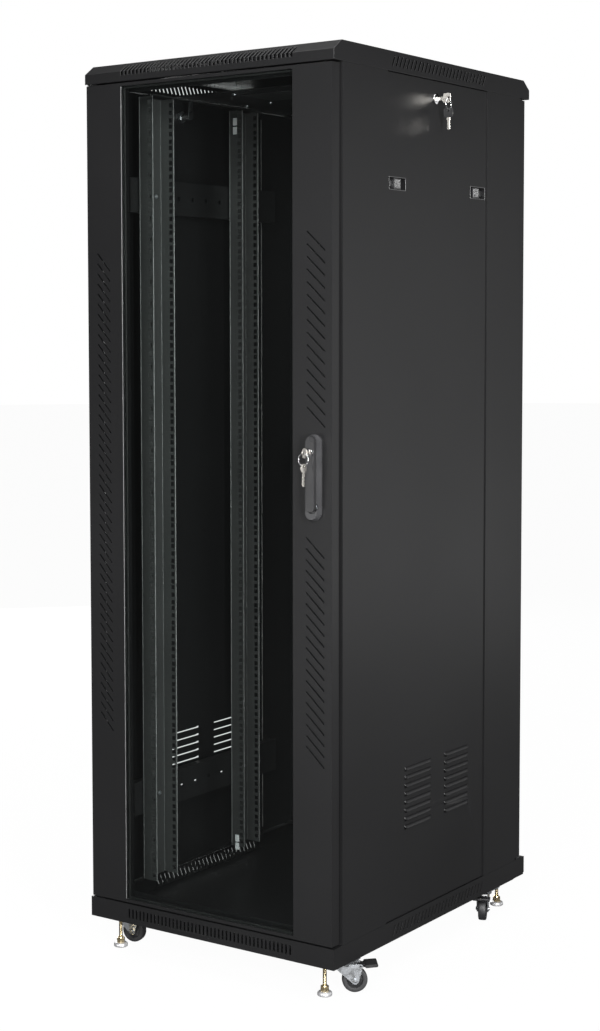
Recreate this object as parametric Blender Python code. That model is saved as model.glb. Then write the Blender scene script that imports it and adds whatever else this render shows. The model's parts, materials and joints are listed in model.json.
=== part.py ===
"""Network server rack cabinet, 37 units high, 600 mm wide and 800 mm deep.

A welded frame on a tray-shaped base, a vented cover, a glazed front door with a
swing handle, a steel rear door, two lift-off side panels with spring latches,
four 19-inch rails, castors and levelling feet.

Metres, +Z up. The cabinet faces -Y and +X is on its right seen from the front.
Pieces are written in the cabinet's own plan, whose Y runs from 0 at the front
face to DEPTH at the back, and everything hangs under one empty.
"""
import math

import bmesh
import bpy
from mathutils import Matrix, Vector

# ---------------------------------------------------------------- driving sizes
WIDTH = 0.600
DEPTH = 0.800
HEIGHT = 1.833
SHEET = 0.002                     # wall thickness of every folded sheet part
TOUCH = 0.0003                    # gap kept between pieces that rest on each other
CLEAR = 0.004                     # how far a cutter runs past the sheet it cuts

BASE_BOTTOM = 0.068
BASE_TOP = 0.109
BASE_LIP = 0.015                  # flange turned in along the tray's top edge
COVER_BOTTOM = 1.794
COVER_EDGE = 1.814                # where the cover's front and rear faces lean back
COVER_LEAN = 0.027

UNITS = 37
UNIT_HEIGHT = 0.04445
HOLE_OFFSETS = (0.00635, 0.022225, 0.0381)
RAIL_BOTTOM = 0.1285
RAIL_HOLE_X = 0.23255
RAIL_HOLE_SIZE = 0.0095
RAIL_INNER_X = 0.2250
RAIL_OUTER_X = 0.2600
RAIL_MARGIN = 0.006               # plain metal beyond the first and last unit
REAR_HOLE_OFFSETS = (0.022225,)   # the rear rails take one square hole a unit
FRONT_RAIL = (0.127, 0.201)       # the flange with the square holes, the plain one
REAR_RAIL = (0.514, 0.452)

FRAME_BOTTOM = BASE_TOP + TOUCH
FRAME_TOP = COVER_BOTTOM - TOUCH
FRAME_LIP_X = 0.2815              # inner edge of the uprights' flanges
FRAME_BAR = 0.018                 # height of the frames' top and bottom bars
FRAME_BAR_DEPTH = 0.029
FRONT_FRAME = (0.031, 0.195)
REAR_FRAME = (0.7555, 0.607)

DOOR_HALF = 0.2955
DOOR_BOTTOM = 0.1125
DOOR_TOP = 1.7905
DOOR_DEPTH = 0.0265
DOOR_LIP = 0.006                  # solid top and bottom edges of the glazed door
WINDOW_HALF = 0.207
GLASS_Y = (0.004, 0.008)
HINGE_X = -0.285
HINGE_SET_BACK = 0.014            # from the doors' outer faces
PIN_RADIUS = 0.0030
PIN_BORE = 0.0033
REAR_DOOR = (0.786, 0.760)

PANEL_FACE = 0.2975
PANEL_INNER = 0.2835
PANEL_Y = (0.1955, 0.6065)
PANEL_Z = (0.1105, 1.7925)

HANDLE_X = 0.262
HANDLE_PIVOT_Z = 0.9585
HOUSING_X = 0.2575
HOUSING_Z = (0.9305, 1.0970)
LEVER_TOP = 1.0935
FRONT_LOCK_Z = 1.063
SIDE_LOCKS = {"left": (0.322, 1.757), "right": (0.386, 1.757)}
REAR_LOCK_Z = 1.000

WHEEL_RADIUS = 0.025
WHEEL_LIFT = 0.001                # the feet carry the cabinet, just clear of the wheels
CASTOR_X = 0.272
CASTOR_Y = (0.076, 0.662)
TRAIL = 0.024
FOOT_X = 0.254
FOOT_Y = (0.040, 0.758)

# the empty that brings the middle of the whole object's footprint over the origin
ORIGIN = Vector((-0.018, -0.372, 0.0))

SIDES = {"left": -1, "right": 1}

# ------------------------------------------------------------------- materials
FINISHES = {
    "panel_paint": ((0.020, 0.020, 0.021), 0.40, 0.0),
    "frame_paint": ((0.016, 0.016, 0.017), 0.36, 0.0),
    "tinted_glass": ((0.10, 0.12, 0.12), 0.05, 0.0),
    "chrome": ((0.75, 0.75, 0.76), 0.15, 1.0),
    "zinc": ((0.62, 0.63, 0.65), 0.35, 1.0),
    "brass": ((0.70, 0.55, 0.28), 0.30, 1.0),
    "tyre": ((0.09, 0.09, 0.095), 0.60, 0.0),
    "black_plastic": ((0.03, 0.03, 0.032), 0.50, 0.0),
}


def make_materials():
    made = {}
    for name, (colour, roughness, metallic) in FINISHES.items():
        material = bpy.data.materials.new(name)
        material.use_nodes = True
        shader = material.node_tree.nodes["Principled BSDF"]
        shader.inputs["Base Color"].default_value = (*colour, 1.0)
        shader.inputs["Roughness"].default_value = roughness
        shader.inputs["Metallic"].default_value = metallic
        made[name] = material
    return made


# ----------------------------------------------------------------- small tools
def new_collection(name):
    collection = bpy.data.collections.new(name)
    bpy.context.scene.collection.children.link(collection)
    return collection


def tool_object(mesh_builder, name="tool"):
    """A hidden shape for cutting or joining, from a bmesh filled by mesh_builder."""
    grid = bmesh.new()
    mesh_builder(grid)
    mesh = bpy.data.meshes.new(name)
    grid.to_mesh(mesh)
    grid.free()
    shape = bpy.data.objects.new(name, mesh)
    TOOLS.objects.link(shape)
    shape.hide_render = True
    shape.display_type = "WIRE"
    return shape


def cube_into(grid, low, high, turn=None):
    low, high = Vector(low), Vector(high)
    size = Matrix.Diagonal((*(high - low), 1.0))
    place = Matrix.Translation((low + high) / 2)
    if turn is not None:
        place = place @ turn
    bmesh.ops.create_cube(grid, size=1.0, matrix=place @ size)


def box(low, high):
    return tool_object(lambda grid: cube_into(grid, low, high), "box")


def boxes(spans, turn=None):
    """Several separate boxes in one shape, each turned about its own middle."""
    def fill(grid):
        for low, high in spans:
            cube_into(grid, low, high, turn)
    return tool_object(fill, "boxes")


AXIS_TURN = {
    "X": Matrix.Rotation(math.radians(90), 4, "Y"),
    "Y": Matrix.Rotation(math.radians(-90), 4, "X"),
    "Z": Matrix.Identity(4),
}


def rod_into(grid, axis, start, end, middle, radius, sides, end_radius=None):
    """A closed cylinder or cone between two stations on an axis through middle."""
    centre = Vector(middle)
    centre["XYZ".index(axis)] = (start + end) / 2
    spin = Matrix.Rotation(math.pi / sides, 4, "Z")
    bmesh.ops.create_cone(
        grid, cap_ends=True, segments=sides, radius1=radius,
        radius2=radius if end_radius is None else end_radius, depth=end - start,
        matrix=Matrix.Translation(centre) @ AXIS_TURN[axis] @ spin)


def rod(axis, start, end, middle, radius, sides=24, end_radius=None):
    return tool_object(
        lambda grid: rod_into(grid, axis, start, end, middle, radius, sides, end_radius), "rod")


def hull(rods, sides=20):
    """The convex skin around some rods, each (axis, start, end, middle, radius)."""
    def fill(grid):
        for axis, start, end, middle, radius in rods:
            rod_into(grid, axis, start, end, middle, radius, sides)
        skin = bmesh.ops.convex_hull(grid, input=grid.verts[:])
        spare = {item for item in skin["geom_interior"] + skin["geom_unused"]
                 if isinstance(item, bmesh.types.BMVert)}
        bmesh.ops.delete(grid, geom=list(spare), context="VERTS")
        keep = {face for face in skin["geom"] if isinstance(face, bmesh.types.BMFace)}
        bmesh.ops.delete(grid, geom=[face for face in grid.faces if face not in keep],
                         context="FACES_ONLY")
        bmesh.ops.dissolve_limit(grid, angle_limit=math.radians(0.5),
                                 verts=grid.verts[:], edges=grid.edges[:])
        bmesh.ops.recalc_face_normals(grid, faces=grid.faces[:])
    return tool_object(fill, "hull")


def prism(outlines, axis, start, end):
    """A flat outline, with any holes, pushed along an axis from start to end.

    The outline's two numbers are Y, Z for an X prism, X, Z for a Y prism and
    X, Y for a Z prism.
    """
    curve = bpy.data.curves.new("outline", "CURVE")
    curve.dimensions = "2D"
    curve.fill_mode = "BOTH"
    curve.extrude = (end - start) / 2
    for points in outlines:
        spline = curve.splines.new("POLY")
        spline.points.add(len(points) - 1)
        for point, (u, v) in zip(spline.points, points):
            point.co = (u, v, 0.0, 1.0)
        spline.use_cyclic_u = True
    flat = bpy.data.objects.new("outline", curve)
    TOOLS.objects.link(flat)
    middle = (start + end) / 2
    frames = {
        "X": Matrix(((0, 0, 1, middle), (1, 0, 0, 0), (0, 1, 0, 0), (0, 0, 0, 1))),
        "Y": Matrix(((1, 0, 0, 0), (0, 0, -1, middle), (0, 1, 0, 0), (0, 0, 0, 1))),
        "Z": Matrix(((1, 0, 0, 0), (0, 1, 0, 0), (0, 0, 1, middle), (0, 0, 0, 1))),
    }
    bpy.context.view_layer.update()
    mesh = bpy.data.meshes.new_from_object(flat.evaluated_get(bpy.context.evaluated_depsgraph_get()))
    bpy.data.objects.remove(flat)

    def fill(grid):
        grid.from_mesh(mesh)
        bmesh.ops.remove_doubles(grid, verts=grid.verts[:], dist=0.00001)
        bmesh.ops.transform(grid, matrix=frames[axis], verts=grid.verts[:])
        bmesh.ops.recalc_face_normals(grid, faces=grid.faces[:])
    return tool_object(fill, "prism")


def rectangle(low, high):
    return [(low[0], low[1]), (high[0], low[1]), (high[0], high[1]), (low[0], high[1])]


def mirrored(points):
    return [(-u, v) for u, v in points]


def join(*shapes):
    return "UNION", shapes


def cut(*shapes):
    return "DIFFERENCE", shapes


def piece(name, finish, shape, *steps, origin=(0.0, 0.0, 0.0)):
    """Turn a shape into a named piece by joining and cutting, in the order of its steps."""
    anchor = Vector(origin)
    for part in (shape, *(other for _, others in steps for other in others)):
        part.data.transform(Matrix.Translation(-anchor))
        part.location = anchor
        part.parent = CABINET
    TOOLS.objects.unlink(shape)
    PARTS.objects.link(shape)
    shape.name = name
    shape.data.name = name
    shape.hide_render = False
    shape.display_type = "TEXTURED"
    shape.data.materials.append(MATERIALS[finish])
    for operation, others in steps:
        for other in others:
            step = shape.modifiers.new(operation.lower(), "BOOLEAN")
            step.operation = operation
            step.solver = "EXACT"
            step.object = other
    return shape


def spread(first, pitch, count):
    return [first + pitch * index for index in range(count)]


def centred(pitch, count, middle=0.0):
    return spread(middle - pitch * (count - 1) / 2, pitch, count)


# ------------------------------------------------------------- base and cover
FRONT_VENTS = centred(0.0095, 43)
SIDE_VENTS = centred(0.01425, 27, middle=0.412)
COVER_VENTS = centred(0.0095, 44)
COVER_SIDE_VENTS = centred(0.0143, 27, middle=0.404)
SLOT = 0.0042                     # width of the vent slots
LEAN = math.radians(27)           # the side vents lean back towards their tops
BASE_FRONT_VENT_Z = (0.080, 0.099)
BASE_SIDE_VENT = (0.0220, 0.0885)     # height, middle
COVER_FRONT_VENT_Z = (1.8065, 1.8290)
COVER_FRONT_VENT_DEPTH = 0.0185       # they run from the front face up the lean
COVER_SIDE_VENT = (0.0225, 1.8145)    # height, middle
DRAIN_NOTCH = (0.0015, 0.750, 0.0045)     # depth, first Y, height in the tray's rear corners
FOOT_NUT = (0.0080, 0.0075)       # radius over corners, height below the tray
FOOT_BORE = 0.0045
CEILING_Y = (0.270, 0.695)        # the cover's closed underside, between its two mouths
CABLE_ENTRY_X = 0.150
CABLE_ENTRY_Y = (0.700, 0.755)


def leaning_slots(depths, height, z_middle, side):
    """Slots through a side skirt; seen from outside, either side's lean to the right."""
    x_face = side * WIDTH / 2
    turn = Matrix.Rotation(-side * LEAN, 4, "X")
    spans = [((x_face - CLEAR, y - SLOT / 2, z_middle - height / 2),
              (x_face + CLEAR, y + SLOT / 2, z_middle + height / 2)) for y in depths]
    return boxes(spans, turn)


def base_frame():
    half = WIDTH / 2
    tray = box((-half, 0, BASE_BOTTOM), (half, DEPTH, BASE_TOP))
    well = box((-half + SHEET, SHEET, BASE_BOTTOM + SHEET),
               (half - SHEET, DEPTH - SHEET, BASE_TOP - SHEET))
    mouth = box((-half + BASE_LIP, BASE_LIP, BASE_TOP - 2 * SHEET),
                (half - BASE_LIP, DEPTH - BASE_LIP, BASE_TOP + SHEET))
    front_vents = boxes([((x - SLOT / 2, -CLEAR, BASE_FRONT_VENT_Z[0]),
                          (x + SLOT / 2, SHEET + CLEAR, BASE_FRONT_VENT_Z[1]))
                         for x in FRONT_VENTS])
    side_vents = [leaning_slots(SIDE_VENTS, *BASE_SIDE_VENT, side) for side in SIDES.values()]
    notch, notch_y, notch_height = DRAIN_NOTCH
    notches = boxes([((side * half - notch, notch_y, BASE_BOTTOM - SHEET),
                      (side * half + notch, DEPTH + SHEET, BASE_BOTTOM + notch_height))
                     for side in SIDES.values()])
    nut_radius, nut_height = FOOT_NUT
    nuts = []
    bores = []
    for side in SIDES.values():
        for y in FOOT_Y:
            centre = (side * FOOT_X, y, 0)
            nuts.append(rod("Z", BASE_BOTTOM - nut_height, BASE_BOTTOM + SHEET / 2, centre,
                            nut_radius, 6))
            bores.append(rod("Z", BASE_BOTTOM - nut_height - CLEAR, BASE_BOTTOM + SHEET + CLEAR,
                             centre, FOOT_BORE, 16))
    return piece("base_frame", "panel_paint", tray, cut(well), join(*nuts),
                 cut(mouth, front_vents, *side_vents, notches, *bores))


def top_cover():
    """A lid with bevelled front and rear rims, its underside closed between two mouths."""
    half = WIDTH / 2
    bevel_run = 0.7               # how the bevel's corners move as the outline shrinks

    def profile(inset, bottom):
        slope = inset * bevel_run
        return [(inset, bottom), (inset, COVER_EDGE - slope), (COVER_LEAN + slope, HEIGHT - inset),
                (DEPTH - COVER_LEAN - slope, HEIGHT - inset), (DEPTH - inset, COVER_EDGE - slope),
                (DEPTH - inset, bottom)]

    shell = prism([profile(0.0, COVER_BOTTOM)], "X", -half, half)
    inside = prism([profile(SHEET, COVER_BOTTOM + SHEET)], "X", -half + SHEET, half - SHEET)
    mouths = boxes([((-half + BASE_LIP, start, COVER_BOTTOM - SHEET),
                     (half - BASE_LIP, end, COVER_BOTTOM + 2 * SHEET))
                    for start, end in ((BASE_LIP, CEILING_Y[0]), (CEILING_Y[1], DEPTH - BASE_LIP))])
    front_vents = boxes([((x - SLOT / 2, -CLEAR, COVER_FRONT_VENT_Z[0]),
                          (x + SLOT / 2, COVER_FRONT_VENT_DEPTH, COVER_FRONT_VENT_Z[1]))
                         for x in COVER_VENTS])
    side_vents = [leaning_slots(COVER_SIDE_VENTS, *COVER_SIDE_VENT, side)
                  for side in SIDES.values()]
    cable_entry = box((-CABLE_ENTRY_X, CABLE_ENTRY_Y[0], HEIGHT - SHEET - CLEAR),
                      (CABLE_ENTRY_X, CABLE_ENTRY_Y[1], HEIGHT + CLEAR))
    return piece("top_cover", "panel_paint", shell,
                 cut(inside, mouths, front_vents, *side_vents, cable_entry))


# --------------------------------------------------------------------- frames
EAR_HALF = 0.0115                 # the hinge ears, either side of the pins and past them
EAR_REACH = 0.0095
EAR_GAP = 0.001                   # between an ear and the door


def portal(name, outer_y, inner_y, hinge_y):
    """A welded frame: two channel uprights, a top bar, a bottom bar and two hinge ears.

    outer_y is the face beside the door, inner_y the flange beside the side panels.
    """
    way = 1 if inner_y > outer_y else -1
    half = WIDTH / 2
    wall = SHEET * way
    channel = [(FRAME_LIP_X, outer_y), (half, outer_y), (half, inner_y), (FRAME_LIP_X, inner_y),
               (FRAME_LIP_X, inner_y - wall), (half - SHEET, inner_y - wall),
               (half - SHEET, outer_y + wall), (FRAME_LIP_X, outer_y + wall)]
    right = prism([channel], "Z", FRAME_BOTTOM, FRAME_TOP)
    left = prism([mirrored(channel)], "Z", FRAME_BOTTOM, FRAME_TOP)
    bars = []
    for near, far in ((FRAME_BOTTOM, 1), (FRAME_TOP, -1)):
        angle = [(outer_y, near), (outer_y + FRAME_BAR_DEPTH * way, near),
                 (outer_y + FRAME_BAR_DEPTH * way, near + SHEET * far),
                 (outer_y + wall, near + SHEET * far), (outer_y + wall, near + FRAME_BAR * far),
                 (outer_y, near + FRAME_BAR * far)]
        bars.append(prism([angle], "X", -half + SHEET / 2, half - SHEET / 2))
    ear_depths = sorted((outer_y + wall / 2, hinge_y - EAR_REACH * way))
    ears = [box((HINGE_X - EAR_HALF, ear_depths[0], low), (HINGE_X + EAR_HALF, ear_depths[1], high))
            for low, high in ((FRAME_BOTTOM, DOOR_BOTTOM - EAR_GAP),
                              (DOOR_TOP + EAR_GAP, FRAME_TOP))]
    pin_holes = [rod("Z", low, high, (HINGE_X, hinge_y, 0), PIN_BORE, 16)
                 for low, high in ((FRAME_BOTTOM - SHEET, DOOR_BOTTOM),
                                   (DOOR_TOP, FRAME_TOP + SHEET))]
    return piece(name, "frame_paint", right, join(*bars, left, *ears), cut(*pin_holes))


BRACE_X = (0.2625, 0.2805)
BRACE_Y = (0.100, 0.637)
BRACE_HOLE = 0.009
BRACE_HOLES = (0.050, 9)          # pitch, count
UPPER_BRACE_Z = (1.540, 1.612)
LOWER_BRACE_Z = (0.262, 0.334)


def brace(name, side, low, high):
    """A channel along the side, open outwards, that ties the two frames together."""
    inner, outer = BRACE_X
    outline = [(inner, low), (outer, low), (outer, low + SHEET), (inner + SHEET, low + SHEET),
               (inner + SHEET, high - SHEET), (outer, high - SHEET), (outer, high), (inner, high)]
    if side < 0:
        outline = mirrored(outline)
    channel = prism([outline], "Y", *BRACE_Y)
    x, z, half = side * inner, (low + high) / 2, BRACE_HOLE / 2
    holes = boxes([((x - CLEAR, y - half, z - half), (x + CLEAR, y + half, z + half))
                   for y in centred(*BRACE_HOLES, middle=sum(BRACE_Y) / 2)])
    return piece(name, "frame_paint", channel, cut(holes))


def rail(name, side, face_y, back_y, offsets):
    """A 19-inch rail: a channel open inwards, with square holes in the flange at face_y."""
    way = 1 if back_y > face_y else -1
    wall = SHEET * way
    outline = [(RAIL_INNER_X, face_y), (RAIL_OUTER_X, face_y), (RAIL_OUTER_X, back_y),
               (RAIL_INNER_X, back_y), (RAIL_INNER_X, back_y - wall),
               (RAIL_OUTER_X - SHEET, back_y - wall), (RAIL_OUTER_X - SHEET, face_y + wall),
               (RAIL_INNER_X, face_y + wall)]
    if side < 0:
        outline = mirrored(outline)
    top = RAIL_BOTTOM + UNITS * UNIT_HEIGHT
    channel = prism([outline], "Z", RAIL_BOTTOM - RAIL_MARGIN, top + RAIL_MARGIN)
    half = RAIL_HOLE_SIZE / 2
    x = side * RAIL_HOLE_X
    spans = [((x - half, face_y - CLEAR, z - half), (x + half, face_y + CLEAR, z + half))
             for unit in range(UNITS)
             for z in (RAIL_BOTTOM + unit * UNIT_HEIGHT + offset for offset in offsets)]
    return piece(name, "frame_paint", channel, cut(boxes(spans)))


# ---------------------------------------------------------------------- doors
DOOR_SLOT = 0.0032
PIN_DEPTH = 0.008                 # of the pin holes in a door's edges
SPINDLE_BORE = 0.0064
# slots from one X to another: fall, height of the first one's start, pitch, count
LEFT_SLOTS = (-0.2700, -0.2380, 0.037, 1.4510, 0.02058, 47)
RIGHT_UPPER_SLOTS = (0.2395, 0.2800, 0.0375, 1.4790, 0.0237, 15)
RIGHT_LOWER_SLOTS = (0.2372, 0.2785, 0.0380, 0.8990, 0.0212, 20)


def falling_slots(x_start, x_end, fall, z_first, pitch, count):
    """Slots through the door's face that fall from x_start to x_end, one below another."""
    length = math.hypot(x_end - x_start, fall)
    turn = Matrix.Rotation(math.atan2(fall, x_end - x_start), 4, "Y")
    x = (x_start + x_end) / 2
    spans = [((x - length / 2, -CLEAR, z - fall / 2 - DOOR_SLOT / 2),
              (x + length / 2, SHEET + CLEAR, z - fall / 2 + DOOR_SLOT / 2))
             for z in spread(z_first, -pitch, count)]
    return boxes(spans, turn)


def front_door_frame():
    outer = rectangle((-DOOR_HALF, DOOR_BOTTOM), (DOOR_HALF, DOOR_TOP))
    window = rectangle((-WINDOW_HALF, DOOR_BOTTOM + DOOR_LIP), (WINDOW_HALF, DOOR_TOP - DOOR_LIP))
    ring = prism([outer, window], "Y", 0.0, DOOR_DEPTH)
    hollows = boxes([((min(side * (WINDOW_HALF + SHEET), side * (DOOR_HALF - SHEET)), SHEET,
                       DOOR_BOTTOM + DOOR_LIP),
                      (max(side * (WINDOW_HALF + SHEET), side * (DOOR_HALF - SHEET)),
                       DOOR_DEPTH + SHEET, DOOR_TOP - DOOR_LIP)) for side in SIDES.values()])
    pin_holes = [rod("Z", z - PIN_DEPTH, z + PIN_DEPTH, (HINGE_X, HINGE_SET_BACK, 0), PIN_BORE, 16)
                 for z in (DOOR_BOTTOM, DOOR_TOP)]
    spindle_hole = rod("Y", -CLEAR, SHEET + CLEAR, (HANDLE_X, 0, HANDLE_PIVOT_Z), SPINDLE_BORE, 16)
    slots = [falling_slots(*LEFT_SLOTS), falling_slots(*RIGHT_UPPER_SLOTS),
             falling_slots(*RIGHT_LOWER_SLOTS)]
    return piece("front_door_frame", "panel_paint", ring,
                 cut(hollows, *pin_holes, spindle_hole, *slots),
                 origin=(HINGE_X, HINGE_SET_BACK, 0))


def front_door_glass():
    edge = TOUCH * 2
    pane = box((-WINDOW_HALF + edge, GLASS_Y[0], DOOR_BOTTOM + DOOR_LIP + edge),
               (WINDOW_HALF - edge, GLASS_Y[1], DOOR_TOP - DOOR_LIP - edge))
    return piece("front_door_glass", "tinted_glass", pane,
                 origin=(HINGE_X, HINGE_SET_BACK, 0))


STIFFENER_X = (-0.255, 0.245)
STIFFENER_DEPTH = 0.015           # from the rear door's outer face
STIFFENER_HALF = 0.0225
STIFFENER_Z = (0.430, 0.903, 1.587)
BARREL_HOLE = 0.0088


def rear_door_panel():
    """A tray-shaped steel door with three stiffening ribs behind its face."""
    outer_face, inner_edge = REAR_DOOR
    shell = box((-DOOR_HALF, inner_edge, DOOR_BOTTOM), (DOOR_HALF, outer_face, DOOR_TOP))
    inside = box((-DOOR_HALF + SHEET, inner_edge - SHEET, DOOR_BOTTOM + DOOR_LIP),
                 (DOOR_HALF - SHEET, outer_face - SHEET, DOOR_TOP - DOOR_LIP))
    stiffeners = [box((STIFFENER_X[0], outer_face - STIFFENER_DEPTH, z - STIFFENER_HALF),
                      (STIFFENER_X[1], outer_face - SHEET / 2, z + STIFFENER_HALF))
                  for z in STIFFENER_Z]
    hinge_y = outer_face - HINGE_SET_BACK
    pin_holes = [rod("Z", z - PIN_DEPTH, z + PIN_DEPTH, (HINGE_X, hinge_y, 0), PIN_BORE, 16)
                 for z in (DOOR_BOTTOM, DOOR_TOP)]
    lock_hole = rod("Y", outer_face - SHEET - CLEAR, outer_face + CLEAR,
                    (HANDLE_X, 0, REAR_LOCK_Z), BARREL_HOLE, 20)
    return piece("rear_door_panel", "panel_paint", shell, cut(inside), join(*stiffeners),
                 cut(*pin_holes, lock_hole), origin=(HINGE_X, hinge_y, 0))


PIN_REACH = 0.0045                # how far a pin goes into the door


def hinge_pins():
    rear_y = REAR_DOOR[0] - HINGE_SET_BACK
    for name, y in (("front_door", HINGE_SET_BACK), ("rear_door", rear_y)):
        for level, low, high in (("upper", DOOR_TOP - PIN_REACH, FRAME_TOP),
                                 ("lower", FRAME_BOTTOM, DOOR_BOTTOM + PIN_REACH)):
            piece(f"{name}_{level}_pin", "zinc",
                  rod("Z", low, high, (HINGE_X, y, 0), PIN_RADIUS, 16), origin=(HINGE_X, y, 0))


# --------------------------------------------------------------- swing handle
HOUSING_FRONT = -0.0145
LEVER_Y = (-0.0245, -0.0155)
LEVER_RADIUS = 0.0085
LEVER_AXIS_Y = -0.0198
CROSS_PIN = 0.0015
CROSS_PIN_HALF = 0.0065
PAD_RADII = (0.0168, 0.0130)      # of the housing's foot and of its face
PAD_SHOULDER = -0.0050            # Y where its sides start to slope
DISH = (0.0020, 0.0125, 0.0045)   # offset in X, radius, depth
SPINDLE = (0.0060, 0.0385)        # radius, inner end
LUG_HALF = (0.0035, 0.0025)
KNUCKLE_RADIUS = 0.0036
CAM_Y = (0.0350, 0.0380)
CAM_RADII = (0.0085, 0.0060)      # about the spindle, at the tip
CAM_GAP = 0.0015                  # between a cam's tip and the frame's lip
AHEAD = -0.030                    # a station in front of every handle and lock part
LEVER_SLOT_HALF = 0.0042
LEVER_SLOT_Z = (-0.0068, 0.0075)
LEVER_SKIN = 0.0008
LEVER_BORE = 0.0063


def front_handle_housing():
    """A raised pad with round ends and sloping sides, hollowed where the lever's heel dips."""
    base_radius, face_radius = PAD_RADII
    rods = []
    for z in (HOUSING_Z[0] + base_radius, HOUSING_Z[1] - base_radius):
        rods.append(("Y", PAD_SHOULDER, -TOUCH, (HOUSING_X, 0, z), base_radius))
        rods.append(("Y", HOUSING_FRONT, PAD_SHOULDER, (HOUSING_X, 0, z), face_radius))
    pad = hull(rods)
    bore = rod("Y", AHEAD, CLEAR, (HANDLE_X, 0, HANDLE_PIVOT_Z), SPINDLE_BORE, 16)
    dish_offset, dish_radius, dish_depth = DISH
    dish = rod("Y", AHEAD, HOUSING_FRONT + dish_depth,
               (HOUSING_X + dish_offset, 0, HANDLE_PIVOT_Z), dish_radius, 24)
    return piece("front_handle_housing", "panel_paint", pad, cut(bore, dish),
                 origin=(HINGE_X, HINGE_SET_BACK, 0))


def front_latch_cam():
    """The spindle with its lug for the lever in front and the cam behind the door."""
    centre = (HANDLE_X, 0, HANDLE_PIVOT_Z)
    radius, inner_end = SPINDLE
    spindle_start = HOUSING_FRONT + DISH[2] + 0.001
    spindle = rod("Y", spindle_start, inner_end, centre, radius, 16)
    across, up = LUG_HALF
    neck = box((HANDLE_X - across, LEVER_AXIS_Y, HANDLE_PIVOT_Z - up),
               (HANDLE_X + across, spindle_start + 0.0015, HANDLE_PIVOT_Z + up))
    knuckle = rod("X", HANDLE_X - across, HANDLE_X + across, (0, LEVER_AXIS_Y, HANDLE_PIVOT_Z),
                  KNUCKLE_RADIUS, 16)
    tip = FRAME_LIP_X - CAM_GAP - CAM_RADII[1]
    cam = hull([("Y", *CAM_Y, centre, CAM_RADII[0]),
                ("Y", *CAM_Y, (tip, 0, HANDLE_PIVOT_Z), CAM_RADII[1])], 16)
    eye = rod("X", HANDLE_X - across - CLEAR, HANDLE_X + across + CLEAR,
              (0, LEVER_AXIS_Y, HANDLE_PIVOT_Z), CROSS_PIN + TOUCH, 12)
    return piece("front_latch_cam", "zinc", spindle, join(neck, knuckle, cam), cut(eye),
                 origin=centre)


def front_handle_lever():
    """The flat lever, slotted over the spindle's lug and carrying the cross pin."""
    top = LEVER_TOP - LEVER_RADIUS
    bar = hull([("Y", *LEVER_Y, (HANDLE_X, 0, HANDLE_PIVOT_Z), LEVER_RADIUS),
                ("Y", *LEVER_Y, (HANDLE_X, 0, top), LEVER_RADIUS)])
    slot = box((HANDLE_X - LEVER_SLOT_HALF, LEVER_Y[0] + LEVER_SKIN,
                HANDLE_PIVOT_Z + LEVER_SLOT_Z[0]),
               (HANDLE_X + LEVER_SLOT_HALF, LEVER_Y[1] + CLEAR, HANDLE_PIVOT_Z + LEVER_SLOT_Z[1]))
    lock_hole = rod("Y", AHEAD, LEVER_Y[1] + CLEAR, (HANDLE_X, 0, FRONT_LOCK_Z), LEVER_BORE, 20)
    pin = rod("X", HANDLE_X - CROSS_PIN_HALF, HANDLE_X + CROSS_PIN_HALF,
              (0, LEVER_AXIS_Y, HANDLE_PIVOT_Z), CROSS_PIN, 12)
    return piece("front_handle_lever", "panel_paint", bar, cut(slot, lock_hole), join(pin),
                 origin=(HANDLE_X, LEVER_AXIS_Y, HANDLE_PIVOT_Z))


# ----------------------------------------------------------------------- locks
PLUG_RADIUS = 0.0046
PLUG_BORE = 0.0049
KEYWAY = (0.0028, 0.0084)         # thickness and height of the slot in a plug
BLADE = (0.0020, 0.0074)
BOW_LENGTH = 0.018
BOW_WIDTH = 0.020
BLADE_LENGTH = 0.026
KEY_HOLE_RADIUS = 0.0027
KEY_HOLE_INSET = 0.0052
RING_RADIUS = 0.0110
RING_WIRE = 0.0009
HANG_DROP = KEY_HOLE_RADIUS - RING_WIRE - TOUCH   # from a hole's middle to the wire in it
BOW_CORNER = 0.004
COLLAR = (0.0110, 0.0040)         # radius and thickness of a barrel's collar
SLEEVE_RADIUS = 0.0083
PLUG_SET_BACK = 0.0006            # from the barrel's face
CAM_THICKNESS = 0.0030
LOCK_CAM_RADII = (0.0080, 0.0055)     # about the plug, at the tip
KEYWAY_DEPTH = 0.0170


def along(axis, a, b, u, v):
    """Two box corners for a span a..b on an axis, with half sizes u, v across it in X, Y, Z order."""
    low, high = sorted((a, b))
    return {"X": ((low, -u, -v), (high, u, v)), "Y": ((-u, low, -v), (u, high, v)),
            "Z": ((-u, -v, low), (u, v, high))}[axis]


def shifted(corners, centre):
    return tuple(tuple(value + offset for value, offset in zip(corner, centre))
                 for corner in corners)


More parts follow.
